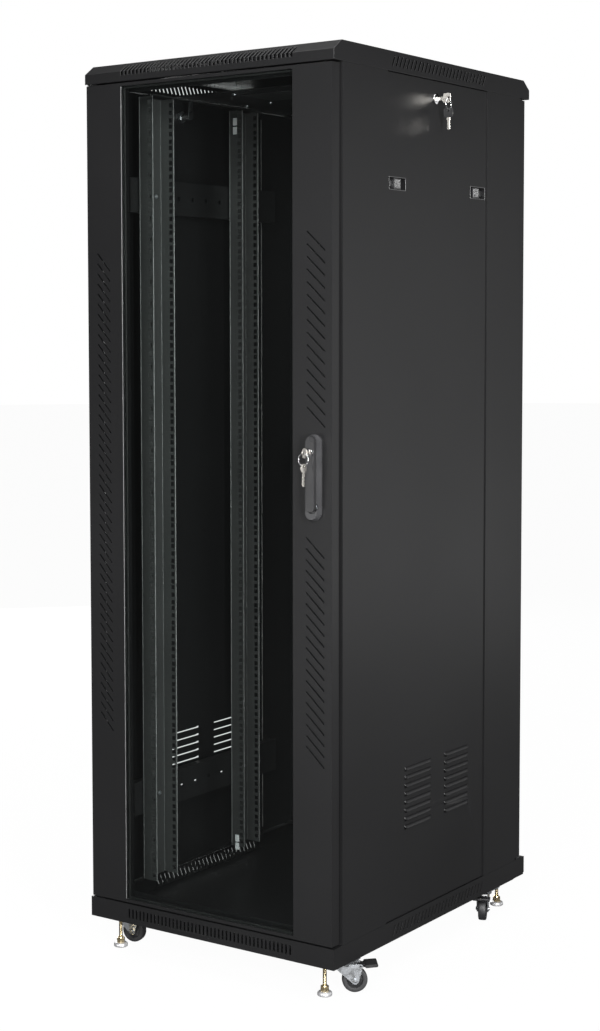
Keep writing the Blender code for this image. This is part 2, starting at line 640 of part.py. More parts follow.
def key_piece(name, axis, end, way, centre, thin, origin, blade_length=BLADE_LENGTH):
    """A key whose bow ends at `end` on its axis and whose blade points along `way`.

    thin is the axis across which the key is flat; centre gives the other two numbers.
    """
    wide = ({"X", "Y", "Z"} - {axis, thin}).pop()
    corner = BOW_CORNER
    blade_half, blade_width = BLADE[0] / 2, BLADE[1] / 2
    rods = []
    for reach in (corner, BOW_LENGTH - corner):
        for sideways in (-1, 1):
            middle = list(centre)
            middle["XYZ".index(axis)] = end + way * reach
            middle["XYZ".index(wide)] += sideways * (BOW_WIDTH / 2 - corner)
            flat = centre["XYZ".index(thin)]
            rods.append((thin, flat - blade_half, flat + blade_half, middle, corner))
    bow = hull(rods, 12)
    sizes = {thin: blade_half - 0.00001, wide: blade_width}
    others = [letter for letter in "XYZ" if letter != axis]
    span = along(axis, way * (BOW_LENGTH - 0.002), way * (BOW_LENGTH + blade_length),
                 sizes[others[0]], sizes[others[1]])
    place = list(centre)
    place["XYZ".index(axis)] = end
    blade = box(*shifted(span, place))
    eye = list(centre)
    eye["XYZ".index(axis)] = end + way * KEY_HOLE_INSET
    flat = centre["XYZ".index(thin)]
    hole = rod(thin, flat - CLEAR, flat + CLEAR, eye, KEY_HOLE_RADIUS, 16)
    return piece(name, "chrome", bow, join(blade), cut(hole), origin=origin)


def key_ring(name, plane_normal, centre, origin):
    turn = {"X": Matrix.Rotation(math.radians(90), 4, "Y"),
            "Y": Matrix.Rotation(math.radians(90), 4, "X")}[plane_normal]
    bpy.ops.mesh.primitive_torus_add(major_radius=RING_RADIUS, minor_radius=RING_WIRE,
                                     major_segments=24, minor_segments=8)
    ring = bpy.context.active_object
    for collection in list(ring.users_collection):
        collection.objects.unlink(ring)
    TOOLS.objects.link(ring)
    ring.data.transform(Matrix.Translation(centre) @ turn)
    return piece(name, "chrome", ring, origin=origin)


def lock_barrel(name, axis, face, way, centre, shank, origin):
    """A round lock body: a chrome collar outside the sheet and a sleeve inside it.

    face is the collar's outer end, way points inwards, shank is how far the sleeve goes.
    """
    collar_radius, collar_depth = COLLAR
    collar = rod(axis, *sorted((face, face + way * collar_depth)), centre, collar_radius, 28)
    sleeve = rod(axis, *sorted((face + way * collar_depth / 4, face + way * shank)), centre,
                 SLEEVE_RADIUS, 20)
    bore = rod(axis, *sorted((face - way * CLEAR, face + way * (shank + CLEAR))), centre,
               PLUG_BORE, 16)
    return piece(name, "chrome", collar, join(sleeve), cut(bore), origin=origin)


def lock_cam(name, axis, face, way, centre, shank, cam_end, origin):
    """The turning plug of a barrel, with a keyway in front and a cam on its inner end."""
    inner = face + way * (shank + 0.0008)
    plug = rod(axis, *sorted((face + way * PLUG_SET_BACK, inner + way * CAM_THICKNESS / 2)),
               centre, PLUG_RADIUS, 16)
    near, far = sorted((inner, inner + way * CAM_THICKNESS))
    cam = hull([(axis, near, far, centre, LOCK_CAM_RADII[0]),
                (axis, near, far, cam_end, LOCK_CAM_RADII[1])], 16)
    others = [letter for letter in "XYZ" if letter != axis]
    sizes = (KEYWAY[0] / 2, KEYWAY[1] / 2)
    place = list(centre)
    place["XYZ".index(axis)] = face
    corners = along(axis, -way * CLEAR, way * KEYWAY_DEPTH, *sizes)
    keyway = box(*shifted(corners, place))
    return piece(name, "zinc", plug, join(cam), cut(keyway), origin=origin)


FRONT_LOCK_FACE = -0.0300
FRONT_KEY_END = -0.0520
FRONT_KEY_TIP = -0.0185
FRONT_COLLAR_RADIUS = 0.0078
FRONT_SLEEVE_RADIUS = 0.0060


def front_lock():
    centre = (HANDLE_X, 0, FRONT_LOCK_Z)
    lever_axis = (HANDLE_X, LEVER_AXIS_Y, HANDLE_PIVOT_Z)
    collar = rod("Y", FRONT_LOCK_FACE, LEVER_Y[0] - TOUCH, centre, FRONT_COLLAR_RADIUS, 28)
    sleeve = rod("Y", FRONT_LOCK_FACE + 0.001, LEVER_Y[1], centre, FRONT_SLEEVE_RADIUS, 20)
    bore = rod("Y", FRONT_LOCK_FACE - CLEAR, LEVER_Y[1] + CLEAR, centre, PLUG_BORE, 16)
    piece("front_lock_cylinder", "chrome", collar, join(sleeve), cut(bore), origin=lever_axis)
    plug = rod("Y", FRONT_LOCK_FACE + PLUG_SET_BACK, LEVER_Y[1], centre, PLUG_RADIUS, 16)
    keyway = box((HANDLE_X - KEYWAY[0] / 2, FRONT_LOCK_FACE - CLEAR, FRONT_LOCK_Z - KEYWAY[1] / 2),
                 (HANDLE_X + KEYWAY[0] / 2, LEVER_Y[1] - 0.002, FRONT_LOCK_Z + KEYWAY[1] / 2))
    piece("front_lock_plug", "chrome", plug, cut(keyway), origin=centre)
    key_piece("front_key", "Y", FRONT_KEY_END, 1, centre, "X", centre,
              blade_length=FRONT_KEY_TIP - FRONT_KEY_END - BOW_LENGTH)
    eye_y = FRONT_KEY_END + KEY_HOLE_INSET
    ring_top = FRONT_LOCK_Z - HANG_DROP
    swing = (HANDLE_X, eye_y, ring_top)
    key_ring("front_key_ring", "Y", (HANDLE_X, eye_y, ring_top - RING_RADIUS), swing)
    hole_z = ring_top - 2 * RING_RADIUS - HANG_DROP
    key_piece("front_spare_key", "Z", hole_z + KEY_HOLE_INSET, -1, (HANDLE_X, eye_y, 0), "X",
              swing)


SIDE_LOCK_FACE = 0.3018
SIDE_KEY_END = 0.3330
SIDE_LOCK_SHANK = 0.030
SIDE_CAM_REACH = 0.0275
REAR_LOCK_SHANK = 0.037
REAR_LOCK_PROUD = 0.0043          # of the rear door's face


def side_lock(side_name):
    side = SIDES[side_name]
    y, z = SIDE_LOCKS[side_name]
    centre = (0, y, z)
    face = side * SIDE_LOCK_FACE
    turning = (face, y, z)
    lock_barrel(f"{side_name}_lock_barrel", "X", face, -side, centre, SIDE_LOCK_SHANK,
                panel_origin(side))
    lock_cam(f"{side_name}_lock_cam", "X", face, -side, centre, SIDE_LOCK_SHANK,
             (0, y, z + SIDE_CAM_REACH), turning)


def right_side_keys():
    y, z = SIDE_LOCKS["right"]
    key_piece("right_key", "X", SIDE_KEY_END, -1, (0, y, z), "Y", (SIDE_LOCK_FACE, y, z))
    eye_x = SIDE_KEY_END - KEY_HOLE_INSET
    ring_top = z - HANG_DROP
    swing = (eye_x, y, ring_top)
    key_ring("right_key_ring", "X", (eye_x, y, ring_top - RING_RADIUS), swing)
    hole_z = ring_top - 2 * RING_RADIUS - HANG_DROP
    key_piece("right_spare_key", "Z", hole_z + KEY_HOLE_INSET, -1, (eye_x, y, 0), "Y", swing)


def rear_lock():
    outer_face = REAR_DOOR[0]
    hinge = (HINGE_X, outer_face - HINGE_SET_BACK, 0)
    face = outer_face + REAR_LOCK_PROUD
    centre = (HANDLE_X, 0, REAR_LOCK_Z)
    lock_barrel("rear_lock_barrel", "Y", face, -1, centre, REAR_LOCK_SHANK, hinge)
    tip = FRAME_LIP_X - CAM_GAP - LOCK_CAM_RADII[1]
    lock_cam("rear_lock_cam", "Y", face, -1, centre, REAR_LOCK_SHANK, (tip, 0, REAR_LOCK_Z),
             (HANDLE_X, face, REAR_LOCK_Z))


# ----------------------------------------------------------------- side panels
LOUVRE_COLUMNS = ((0.271, 0.377), (0.435, 0.537))
LOUVRE_ROWS = centred(0.0170, 8, middle=0.345)
LOUVRE_SLIT = 0.0045
LATCH_Z = (1.567, 1.590)
LATCH_POCKETS = {"front": (0.2045, 0.2665), "rear": (0.5355, 0.5975)}
LATCH_FLOOR = 0.2865
LATCH_FACE = 0.2955
LATCH_BODY = (0.0210, 0.0480)     # from the pocket's end beside its upright
CUP_WALL = 0.0015
TONGUE_HALF = 0.0055
TONGUE_X = (0.2892, 0.2918)
TONGUE_SLOT_X = (0.2884, 0.2926)
TONGUE_SLOT_HALF = 0.0065
TONGUE_GAP = 0.0008               # between the tongue and the panel's outer edge
PANEL_BARREL_HOLE = 0.0087


def panel_origin(side):
    return side * PANEL_FACE, sum(PANEL_Y) / 2, sum(PANEL_Z) / 2


def side_box(side, x_span, y_span, z_span):
    low, high = sorted(side * x for x in x_span)
    return box((low, y_span[0], z_span[0]), (high, y_span[1], z_span[1]))


def side_panel(side_name):
    """A tray-shaped panel with louvres, a lock hole and two latch pockets."""
    side = SIDES[side_name]
    shell = side_box(side, (PANEL_INNER, PANEL_FACE), PANEL_Y, PANEL_Z)
    inset_y = (PANEL_Y[0] + SHEET, PANEL_Y[1] - SHEET)
    inset_z = (PANEL_Z[0] + SHEET, PANEL_Z[1] - SHEET)
    inside = side_box(side, (PANEL_INNER - SHEET, PANEL_FACE - SHEET), inset_y, inset_z)
    through = (PANEL_FACE - 2 * SHEET, PANEL_FACE + SHEET)
    low, high = sorted(side * x for x in through)
    slits = boxes([((low, start, z - LOUVRE_SLIT / 2), (high, end, z + LOUVRE_SLIT / 2))
                   for start, end in LOUVRE_COLUMNS for z in LOUVRE_ROWS])
    lock_hole = rod("X", low, high, (0, *SIDE_LOCKS[side_name]), PANEL_BARREL_HOLE, 20)
    cups, pockets, tongue_slots = [], [], []
    middle_z = sum(LATCH_Z) / 2
    for end_name, (start, end) in LATCH_POCKETS.items():
        wall = CUP_WALL
        cups.append(side_box(side, (LATCH_FLOOR - wall, PANEL_FACE - SHEET / 2),
                             (start - wall, end + wall), (LATCH_Z[0] - wall, LATCH_Z[1] + wall)))
        pockets.append(side_box(side, (LATCH_FLOOR, PANEL_FACE + SHEET), (start, end), LATCH_Z))
        reach = (PANEL_Y[0] - SHEET, start + wall) if end_name == "front" \
            else (end - wall, PANEL_Y[1] + SHEET)
        tongue_slots.append(side_box(side, TONGUE_SLOT_X, reach,
                                     (middle_z - TONGUE_SLOT_HALF, middle_z + TONGUE_SLOT_HALF)))
    return piece(f"{side_name}_side_panel", "panel_paint", shell, cut(inside), join(*cups),
                 cut(*pockets, *tongue_slots, slits, lock_hole), origin=panel_origin(side))


def panel_latch(side_name, end_name):
    """A sliding bolt in its pocket, its tongue reaching for the upright beside the panel."""
    side = SIDES[side_name]
    start, end = LATCH_POCKETS[end_name]
    middle_z = sum(LATCH_Z) / 2
    if end_name == "front":
        body_y = (start + LATCH_BODY[0], start + LATCH_BODY[1])
        tongue_y = (PANEL_Y[0] + TONGUE_GAP, body_y[0] + 0.001)
    else:
        body_y = (end - LATCH_BODY[1], end - LATCH_BODY[0])
        tongue_y = (body_y[1] - 0.001, PANEL_Y[1] - TONGUE_GAP)
    body = side_box(side, (LATCH_FLOOR + 0.0005, LATCH_FACE), body_y,
                    (LATCH_Z[0] + CUP_WALL, LATCH_Z[1] - CUP_WALL))
    tongue = side_box(side, TONGUE_X, tongue_y, (middle_z - TONGUE_HALF, middle_z + TONGUE_HALF))
    return piece(f"{side_name}_{end_name}_latch", "black_plastic", body, join(tongue),
                 origin=(side * LATCH_FLOOR, sum(body_y) / 2, middle_z))


# ------------------------------------------------------------ castors and feet
PLATE_TOP = BASE_BOTTOM - TOUCH
AXLE_Z = WHEEL_RADIUS + WHEEL_LIFT
CROWN_Z = (0.0545, 0.0595)
ARM_INNER = 0.0105
ARM_OUTER = 0.0125
PEDAL_AXIS = (0.0350, 0.0545)     # along the fork and up
PEDAL_REACH = 0.0655
PEDAL_HALF = 0.0095               # of the arm at its pivot
PEDAL_PAD = (0.0455, 0.0180)      # where the wide pad starts, its half width
PEDAL_PIN = (0.0015, 0.0135)      # radius, half length
PEDAL_RADII = (0.0032, 0.0030)
PEDAL_RISE = 0.0030
PLATE_HALF = (0.0260, 0.0255)
PLATE_THICKNESS = 0.003
BOSS_RADIUS = 0.0170
CROWN_RADIUS = 0.0175
KINGPIN_RADIUS = 0.0050
AXLE = (0.0030, 0.0145)           # radius, half length
TREAD_HALF = 0.0085
HUB = (0.0070, 0.0097)            # radius, half width
# a fork arm is the skin round three discs: along the fork, up, radius
FORK_ARM = ((-0.0080, 0.0525, 0.0060), (TRAIL, AXLE_Z, 0.0075), (*PEDAL_AXIS, 0.0040))

CASTORS = {
    # corner: side, which Y, heading of the wheel in degrees, with a brake pedal
    "front_left": ("left", 0, 9, False),
    "front_right": ("right", 0, 37, True),
    "rear_left": ("left", 1, 30, False),
    "rear_right": ("right", 1, -67, True),
}


def turned(shape, heading, centre):
    """Carry a castor part, drawn heading along +X at the origin, to its place."""
    turn = Matrix.Translation((*centre, 0)) @ Matrix.Rotation(math.radians(heading), 4, "Z")
    shape.data.transform(turn)
    return shape


def castor(corner, side_name, row, heading, has_pedal):
    x, y = SIDES[side_name] * CASTOR_X, CASTOR_Y[row]
    centre = (x, y)
    plate = box((x - PLATE_HALF[0], y - PLATE_HALF[1], PLATE_TOP - PLATE_THICKNESS),
                (x + PLATE_HALF[0], y + PLATE_HALF[1], PLATE_TOP))
    boss = rod("Z", CROWN_Z[1] + TOUCH, PLATE_TOP - PLATE_THICKNESS / 2, (x, y, 0), BOSS_RADIUS, 24)
    bore = rod("Z", CROWN_Z[1] - CLEAR, PLATE_TOP + CLEAR, (x, y, 0), KINGPIN_RADIUS + TOUCH, 16)
    piece(f"{corner}_castor_plate", "zinc", plate, join(boss), cut(bore), origin=(x, y, PLATE_TOP))

    swivel = (x, y, CROWN_Z[0])
    crown = rod("Z", *CROWN_Z, (0, 0, 0), CROWN_RADIUS, 24)
    kingpin = rod("Z", CROWN_Z[1] - 0.001, PLATE_TOP - 0.001, (0, 0, 0), KINGPIN_RADIUS, 16)
    axle_radius, axle_half = AXLE
    axle = rod("Y", -axle_half, axle_half, (TRAIL, 0, AXLE_Z), axle_radius, 12)
    pin_radius, pin_half = PEDAL_PIN
    arms = []
    pedal_holes = []
    for side in (-1, 1):
        across = sorted((side * ARM_INNER, side * ARM_OUTER))
        arms.append(hull([("Y", *across, (ahead, 0, up), radius)
                          for ahead, up, radius in FORK_ARM], 12))
        pedal_holes.append(rod("Y", across[0] - 0.001, across[1] + 0.001,
                               (PEDAL_AXIS[0], 0, PEDAL_AXIS[1]), pin_radius + 0.0004, 10))
    added = [turned(shape, heading, centre) for shape in (kingpin, *arms, axle)]
    holes = [turned(shape, heading, centre) for shape in pedal_holes] if has_pedal else []
    piece(f"{corner}_castor_fork", "zinc", turned(crown, heading, centre), join(*added),
          cut(*holes), origin=swivel)

    offset = Matrix.Rotation(math.radians(heading), 4, "Z") @ Vector((TRAIL, 0, 0))
    axle_point = (x + offset.x, y + offset.y, AXLE_Z)
    tyre = rod("Y", -TREAD_HALF, TREAD_HALF, (TRAIL, 0, AXLE_Z), WHEEL_RADIUS, 32)
    hub_radius, hub_half = HUB
    hub = rod("Y", -hub_half, hub_half, (TRAIL, 0, AXLE_Z), hub_radius, 16)
    axle_bore = rod("Y", -hub_half - CLEAR, hub_half + CLEAR, (TRAIL, 0, AXLE_Z),
                    axle_radius + TOUCH, 12)
    piece(f"{corner}_castor_wheel", "tyre", turned(tyre, heading, centre),
          join(turned(hub, heading, centre)), cut(turned(axle_bore, heading, centre)),
          origin=axle_point)

    if has_pedal:
        along_fork, up = PEDAL_AXIS
        pad_start, pad_half = PEDAL_PAD
        arm = hull([("Y", -PEDAL_HALF, PEDAL_HALF, (along_fork, 0, up), PEDAL_RADII[0]),
                    ("Y", -PEDAL_HALF, PEDAL_HALF, (pad_start + CLEAR, 0, up + PEDAL_RISE / 2),
                     PEDAL_RADII[1])], 12)
        pad = hull([("Y", -pad_half, pad_half, (pad_start, 0, up + PEDAL_RISE / 2),
                     PEDAL_RADII[0]),
                    ("Y", -pad_half, pad_half, (PEDAL_REACH, 0, up + PEDAL_RISE),
                     PEDAL_RADII[1])], 12)
        pin = rod("Y", -pin_half, pin_half, (along_fork, 0, up), pin_radius, 10)
        pivot = Matrix.Rotation(math.radians(heading), 4, "Z") @ Vector((along_fork, 0, up))
        piece(f"{corner}_brake_pedal", "black_plastic", turned(arm, heading, centre),
              join(turned(pad, heading, centre), turned(pin, heading, centre)),
              origin=(x + pivot.x, y + pivot.y, up))


FOOT_DISC = (0.0, 0.009, 0.0145)      # from, to, radius; each part laps into the next
FOOT_HEXAGON = (0.0085, 0.020, 0.0092)
FOOT_STUD = (0.019, 0.084, 0.0040)


def levelling_foot(corner, side_name, row):
    """A round chrome foot with a hexagon and a threaded stud above it."""
    place = (SIDES[side_name] * FOOT_X, FOOT_Y[row], 0)
    disc, hexagon, stud = (rod("Z", low, high, place, radius, sides) for (low, high, radius), sides
                           in ((FOOT_DISC, 28), (FOOT_HEXAGON, 6), (FOOT_STUD, 16)))
    piece(f"{corner}_levelling_foot", "brass", disc, join(hexagon, stud), origin=place)


# ------------------------------------------------------------------ put together
def clear_scene():
    for old in list(bpy.data.objects):
        bpy.data.objects.remove(old)


clear_scene()
PARTS = new_collection("network_rack_cabinet")
TOOLS = new_collection("cutters")
MATERIALS = make_materials()
CABINET = bpy.data.objects.new("cabinet_plan", None)
PARTS.objects.link(CABINET)
CABINET.location = ORIGIN

base_frame()
top_cover()
portal("front_frame", *FRONT_FRAME, HINGE_SET_BACK)
portal("rear_frame", *REAR_FRAME, REAR_DOOR[0] - HINGE_SET_BACK)
for side_label, side_sign in SIDES.items():
    brace(f"{side_label}_upper_brace", side_sign, *UPPER_BRACE_Z)
    brace(f"{side_label}_lower_brace", side_sign, *LOWER_BRACE_Z)
    rail(f"front_{side_label}_rail", side_sign, *FRONT_RAIL, HOLE_OFFSETS)
    rail(f"rear_{side_label}_rail", side_sign, *REAR_RAIL, REAR_HOLE_OFFSETS)
    side_panel(side_label)
    side_lock(side_label)
    for end_label in LATCH_POCKETS:
        panel_latch(side_label, end_label)
hinge_pins()
front_door_frame()
front_door_glass()
front_handle_housing()
front_latch_cam()
front_handle_lever()
front_lock()
rear_door_panel()
rear_lock()
right_side_keys()
for corner_label, settings in CASTORS.items():
    castor(corner_label, *settings)
    levelling_foot(corner_label, *settings[:2])
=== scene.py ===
"""Looks of the network rack cabinet: its finishes, and its pressed and fitted details."""
import json
import math

import bmesh
import bpy
from mathutils import Matrix, Vector


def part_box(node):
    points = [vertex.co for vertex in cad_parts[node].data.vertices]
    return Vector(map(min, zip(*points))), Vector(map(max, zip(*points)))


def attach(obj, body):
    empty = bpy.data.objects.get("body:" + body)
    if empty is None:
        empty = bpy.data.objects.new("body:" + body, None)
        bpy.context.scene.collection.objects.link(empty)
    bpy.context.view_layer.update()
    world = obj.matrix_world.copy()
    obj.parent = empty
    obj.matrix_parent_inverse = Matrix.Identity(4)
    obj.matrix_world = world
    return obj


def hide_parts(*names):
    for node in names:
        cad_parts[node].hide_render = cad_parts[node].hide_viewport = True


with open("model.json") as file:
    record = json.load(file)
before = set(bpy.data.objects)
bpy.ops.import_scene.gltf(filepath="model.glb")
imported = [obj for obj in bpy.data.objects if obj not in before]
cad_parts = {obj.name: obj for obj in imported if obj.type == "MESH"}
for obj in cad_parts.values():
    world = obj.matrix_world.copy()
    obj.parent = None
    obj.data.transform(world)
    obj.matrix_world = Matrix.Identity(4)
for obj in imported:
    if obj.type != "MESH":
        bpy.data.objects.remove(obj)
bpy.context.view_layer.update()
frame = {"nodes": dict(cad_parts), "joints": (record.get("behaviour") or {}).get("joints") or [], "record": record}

NODES = frame["nodes"]

# The cabinet's own plan: X from its middle, Y from its front face, Z from the floor.
BASE_LOW, BASE_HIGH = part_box("base_frame")
MID_X = (BASE_LOW[0] + BASE_HIGH[0]) / 2
FRONT_Y = BASE_LOW[1]
HALF = (BASE_HIGH[0] - BASE_LOW[0]) / 2
SIDES = {"left": -1, "right": 1}


def at(x, y, z):
    return Vector((MID_X + x, FRONT_Y + y, z))


def span(node):
    """A node's box in the cabinet's plan."""
    low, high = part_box(node)
    shift = Vector((MID_X, FRONT_Y, 0))
    return Vector(low) - shift, Vector(high) - shift


def reach(node):
    """How far a node stands out to its side, from the middle."""
    low, high = span(node)
    return max(abs(low.x), abs(high.x))


def world_box(node):
    low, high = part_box(node)
    return Vector(low), Vector(high)


# ---- camera, light
def aim(obj, place, target):
    obj.location = place
    obj.rotation_mode = "QUATERNION"
    obj.rotation_quaternion = (Vector(target) - Vector(place)).to_track_quat("-Z", "Y")


CAMERA_PLACE = (2.19585, -3.00794, 1.29113)      # in the cabinet's plan
CAMERA_TURN = (-0.6388, 0.0677, -0.0048)         # yaw, pitch and roll in radians
CAMERA_LENS, CAMERA_SENSOR = 66.02, 36.0
CAMERA_SHIFT = (0.1071, -0.0541)


def make_camera():
    """Three-quarter view from the front right, a little above the handle."""
    place = at(*CAMERA_PLACE)
    yaw, pitch, roll = CAMERA_TURN
    ahead = Vector((math.sin(yaw) * math.cos(pitch), math.cos(yaw) * math.cos(pitch),
                    -math.sin(pitch)))
    level = Vector((math.cos(yaw), -math.sin(yaw), 0))
    above = level.cross(ahead)
    right = math.cos(roll) * level + math.sin(roll) * above
    up = math.cos(roll) * above - math.sin(roll) * level
    data = bpy.data.cameras.new("camera")
    data.sensor_width = CAMERA_SENSOR
    data.lens = CAMERA_LENS
    data.shift_x, data.shift_y = CAMERA_SHIFT
    data.clip_start, data.clip_end = 0.05, 100.0
    camera = bpy.data.objects.new("camera", data)
    turn = Matrix((right, up, -ahead)).transposed().to_4x4()
    camera.matrix_world = Matrix.Translation(place) @ turn
    bpy.context.scene.collection.objects.link(camera)
    bpy.context.scene.camera = camera


def softbox(name, place, target, width, height, power):
    data = bpy.data.lights.new(name, "AREA")
    data.shape = "RECTANGLE"
    data.size, data.size_y = width, height
    data.energy = power
    lamp = bpy.data.objects.new(name, data)
    aim(lamp, place, target)
    lamp.visible_camera = False
    bpy.context.scene.collection.objects.link(lamp)


WORLD_LIGHT = 0.01
LAMPS = (                         # place and target in the cabinet's plan, size, power
    ("key", (-1.6, -3.8, 0.9), (0.2, 0.0, 0.9), 0.9, 3.2, 13),
    ("key_low", (-1.0, -3.8, 0.25), (0.2, 0.0, 0.35), 0.9, 0.9, 26),
    ("side", (3.2, 3.6, 0.6), (0.3, 0.4, 0.9), 3.0, 3.2, 27),
    ("side_low", (3.0, 3.4, 0.3), (0.3, 0.4, 0.4), 3.0, 0.6, 4),
    ("overhead", (0.4, -0.2, 4.2), (0.0, 0.3, 0.0), 3.5, 3.5, 130),
    ("front_fill", (1.9, -4.2, 2.6), (-0.1, 0.4, 0.9), 1.4, 1.4, 190),
    ("rim", (3.6, -2.4, 1.2), (0.3, 0.0, 0.9), 0.5, 3.0, 330),
    ("inside", (0.255, 0.062, 0.95), (-0.25, 0.45, 0.95), 0.02, 1.55, 3),
    ("back_left", (-3.4, 3.6, 1.5), (-0.2, 0.5, 0.9), 2.8, 3.0, 150),
)


def make_world():
    """White to the camera, and nearly dark to the cabinet, which the lamps light."""
    world = bpy.data.worlds.new("studio")
    world.use_nodes = True
    bpy.context.scene.world = world
    tree = world.node_tree
    tree.nodes.clear()

    def white(strength):
        node = tree.nodes.new("ShaderNodeBackground")
        node.inputs["Color"].default_value = (1, 1, 1, 1)
        node.inputs["Strength"].default_value = strength
        return node
    seen, lit = white(1.0), white(WORLD_LIGHT)
    path = tree.nodes.new("ShaderNodeLightPath")
    mix = tree.nodes.new("ShaderNodeMixShader")
    out = tree.nodes.new("ShaderNodeOutputWorld")
    tree.links.new(path.outputs["Is Camera Ray"], mix.inputs["Fac"])
    tree.links.new(lit.outputs[0], mix.inputs[1])
    tree.links.new(seen.outputs[0], mix.inputs[2])
    tree.links.new(mix.outputs[0], out.inputs["Surface"])


FLOOR_GLOW = 0.97                 # share of the floor that shows as even white
FLOOR_BOUNCE = 0.10               # how much of the light it hands on to the cabinet
FLOOR_SHADE, FLOOR_ROUGHNESS = 0.85, 0.8
FLOOR_RADIUS = 30.0


def make_floor():
    grid = bmesh.new()
    bmesh.ops.create_circle(grid, cap_ends=True, segments=96, radius=FLOOR_RADIUS)
    mesh = bpy.data.meshes.new("floor")
    grid.to_mesh(mesh)
    grid.free()
    floor = bpy.data.objects.new("floor", mesh)
    bpy.context.scene.collection.objects.link(floor)
    made, tree, seen = new_material("floor_white")
    reflected = tree.nodes.new("ShaderNodeBsdfDiffuse")
    reflected.inputs["Color"].default_value = (*[FLOOR_BOUNCE] * 3, 1)
    seen.inputs["Base Color"].default_value = (*[FLOOR_SHADE] * 3, 1)
    seen.inputs["Roughness"].default_value = FLOOR_ROUGHNESS
    glow = tree.nodes.new("ShaderNodeEmission")
    path = tree.nodes.new("ShaderNodeLightPath")
    even = tree.nodes.new("ShaderNodeMixShader")
    even.inputs["Fac"].default_value = FLOOR_GLOW
    pick = tree.nodes.new("ShaderNodeMixShader")
    tree.links.new(seen.outputs[0], even.inputs[1])
    tree.links.new(glow.outputs[0], even.inputs[2])
    tree.links.new(path.outputs["Is Camera Ray"], pick.inputs["Fac"])
    tree.links.new(reflected.outputs[0], pick.inputs[1])
    tree.links.new(even.outputs[0], pick.inputs[2])
    tree.links.new(pick.outputs[0], tree.nodes["Material Output"].inputs["Surface"])
    mesh.materials.append(made)


# ---- materials
def new_material(name):
    made = bpy.data.materials.new(name)
    made.use_nodes = True
    return made, made.node_tree, made.node_tree.nodes["Principled BSDF"]


def noise(tree, scale, detail=2.0, stretch=(1, 1, 1)):
    """Noise in the piece's own metres, pulled out along an axis where stretch is below 1."""
    place = tree.nodes.new("ShaderNodeTexCoord")
    mapping = tree.nodes.new("ShaderNodeMapping")
    mapping.inputs["Scale"].default_value = stretch
    texture = tree.nodes.new("ShaderNodeTexNoise")
    texture.inputs["Scale"].default_value = scale
    texture.inputs["Detail"].default_value = detail
    tree.links.new(place.outputs["Object"], mapping.inputs["Vector"])
    tree.links.new(mapping.outputs["Vector"], texture.inputs["Vector"])
    return texture.outputs["Fac"]


NOISE_RANGE = (0.3, 0.7)          # where most values of the noise lie


def ramp(tree, source, low, high):
    """The noise, spread over the values from low to high."""
    scale = tree.nodes.new("ShaderNodeMapRange")
    scale.inputs["From Min"].default_value, scale.inputs["From Max"].default_value = NOISE_RANGE
    scale.inputs["To Min"].default_value = low
    scale.inputs["To Max"].default_value = high
    tree.links.new(source, scale.inputs["Value"])
    return scale.outputs["Result"]


def blend_colours(tree, factor, first, second):
    mix = tree.nodes.new("ShaderNodeMix")
    mix.data_type = "RGBA"
    mix.inputs["A"].default_value = (*first, 1)
    mix.inputs["B"].default_value = (*second, 1)
    tree.links.new(factor, mix.inputs["Factor"])
    return mix.outputs["Result"]


def bump(tree, shader, height, distance):
    node = tree.nodes.new("ShaderNodeBump")
    node.inputs["Distance"].default_value = distance
    node.inputs["Strength"].default_value = 1.0
    tree.links.new(height, node.inputs["Height"])
    tree.links.new(node.outputs["Normal"], shader.inputs["Normal"])


COAT_ROUGHNESS = 0.12


def surface(name, first, second, roughness, spread, metallic=0.0, patch=6.0, grain=None,
            stretch=(1, 1, 1), specular=0.5, coat=0.0):
    """A surface whose colour and roughness drift slowly, with a fine grain in relief.

    The drift goes from colour first to second and from roughness - spread to + spread; patch
    is its scale. grain is the size and the depth of the relief in metres.
    """
    made, tree, shader = new_material(name)
    shader.inputs["Metallic"].default_value = metallic
    shader.inputs["Specular IOR Level"].default_value = specular
    shader.inputs["Coat Weight"].default_value = coat
    shader.inputs["Coat Roughness"].default_value = COAT_ROUGHNESS
    drift = noise(tree, patch, detail=3.0, stretch=stretch)
    tree.links.new(blend_colours(tree, ramp(tree, drift, 0.0, 1.0), first, second),
                   shader.inputs["Base Color"])
    tree.links.new(ramp(tree, drift, roughness - spread, roughness + spread),
                   shader.inputs["Roughness"])
    if grain:
        size, depth = grain
        bump(tree, shader, noise(tree, 1.0 / size, detail=2.0, stretch=stretch), depth)
    made.diffuse_color = (*first, 1)
    return made


GLASS_HAZE = 0.0013               # share of the pane that scatters the light falling on it
GLASS_TINT = (0.80, 0.825, 0.818, 1)
GLASS_IOR = 1.18                  # low, so that the pane mirrors little seen nearly square on


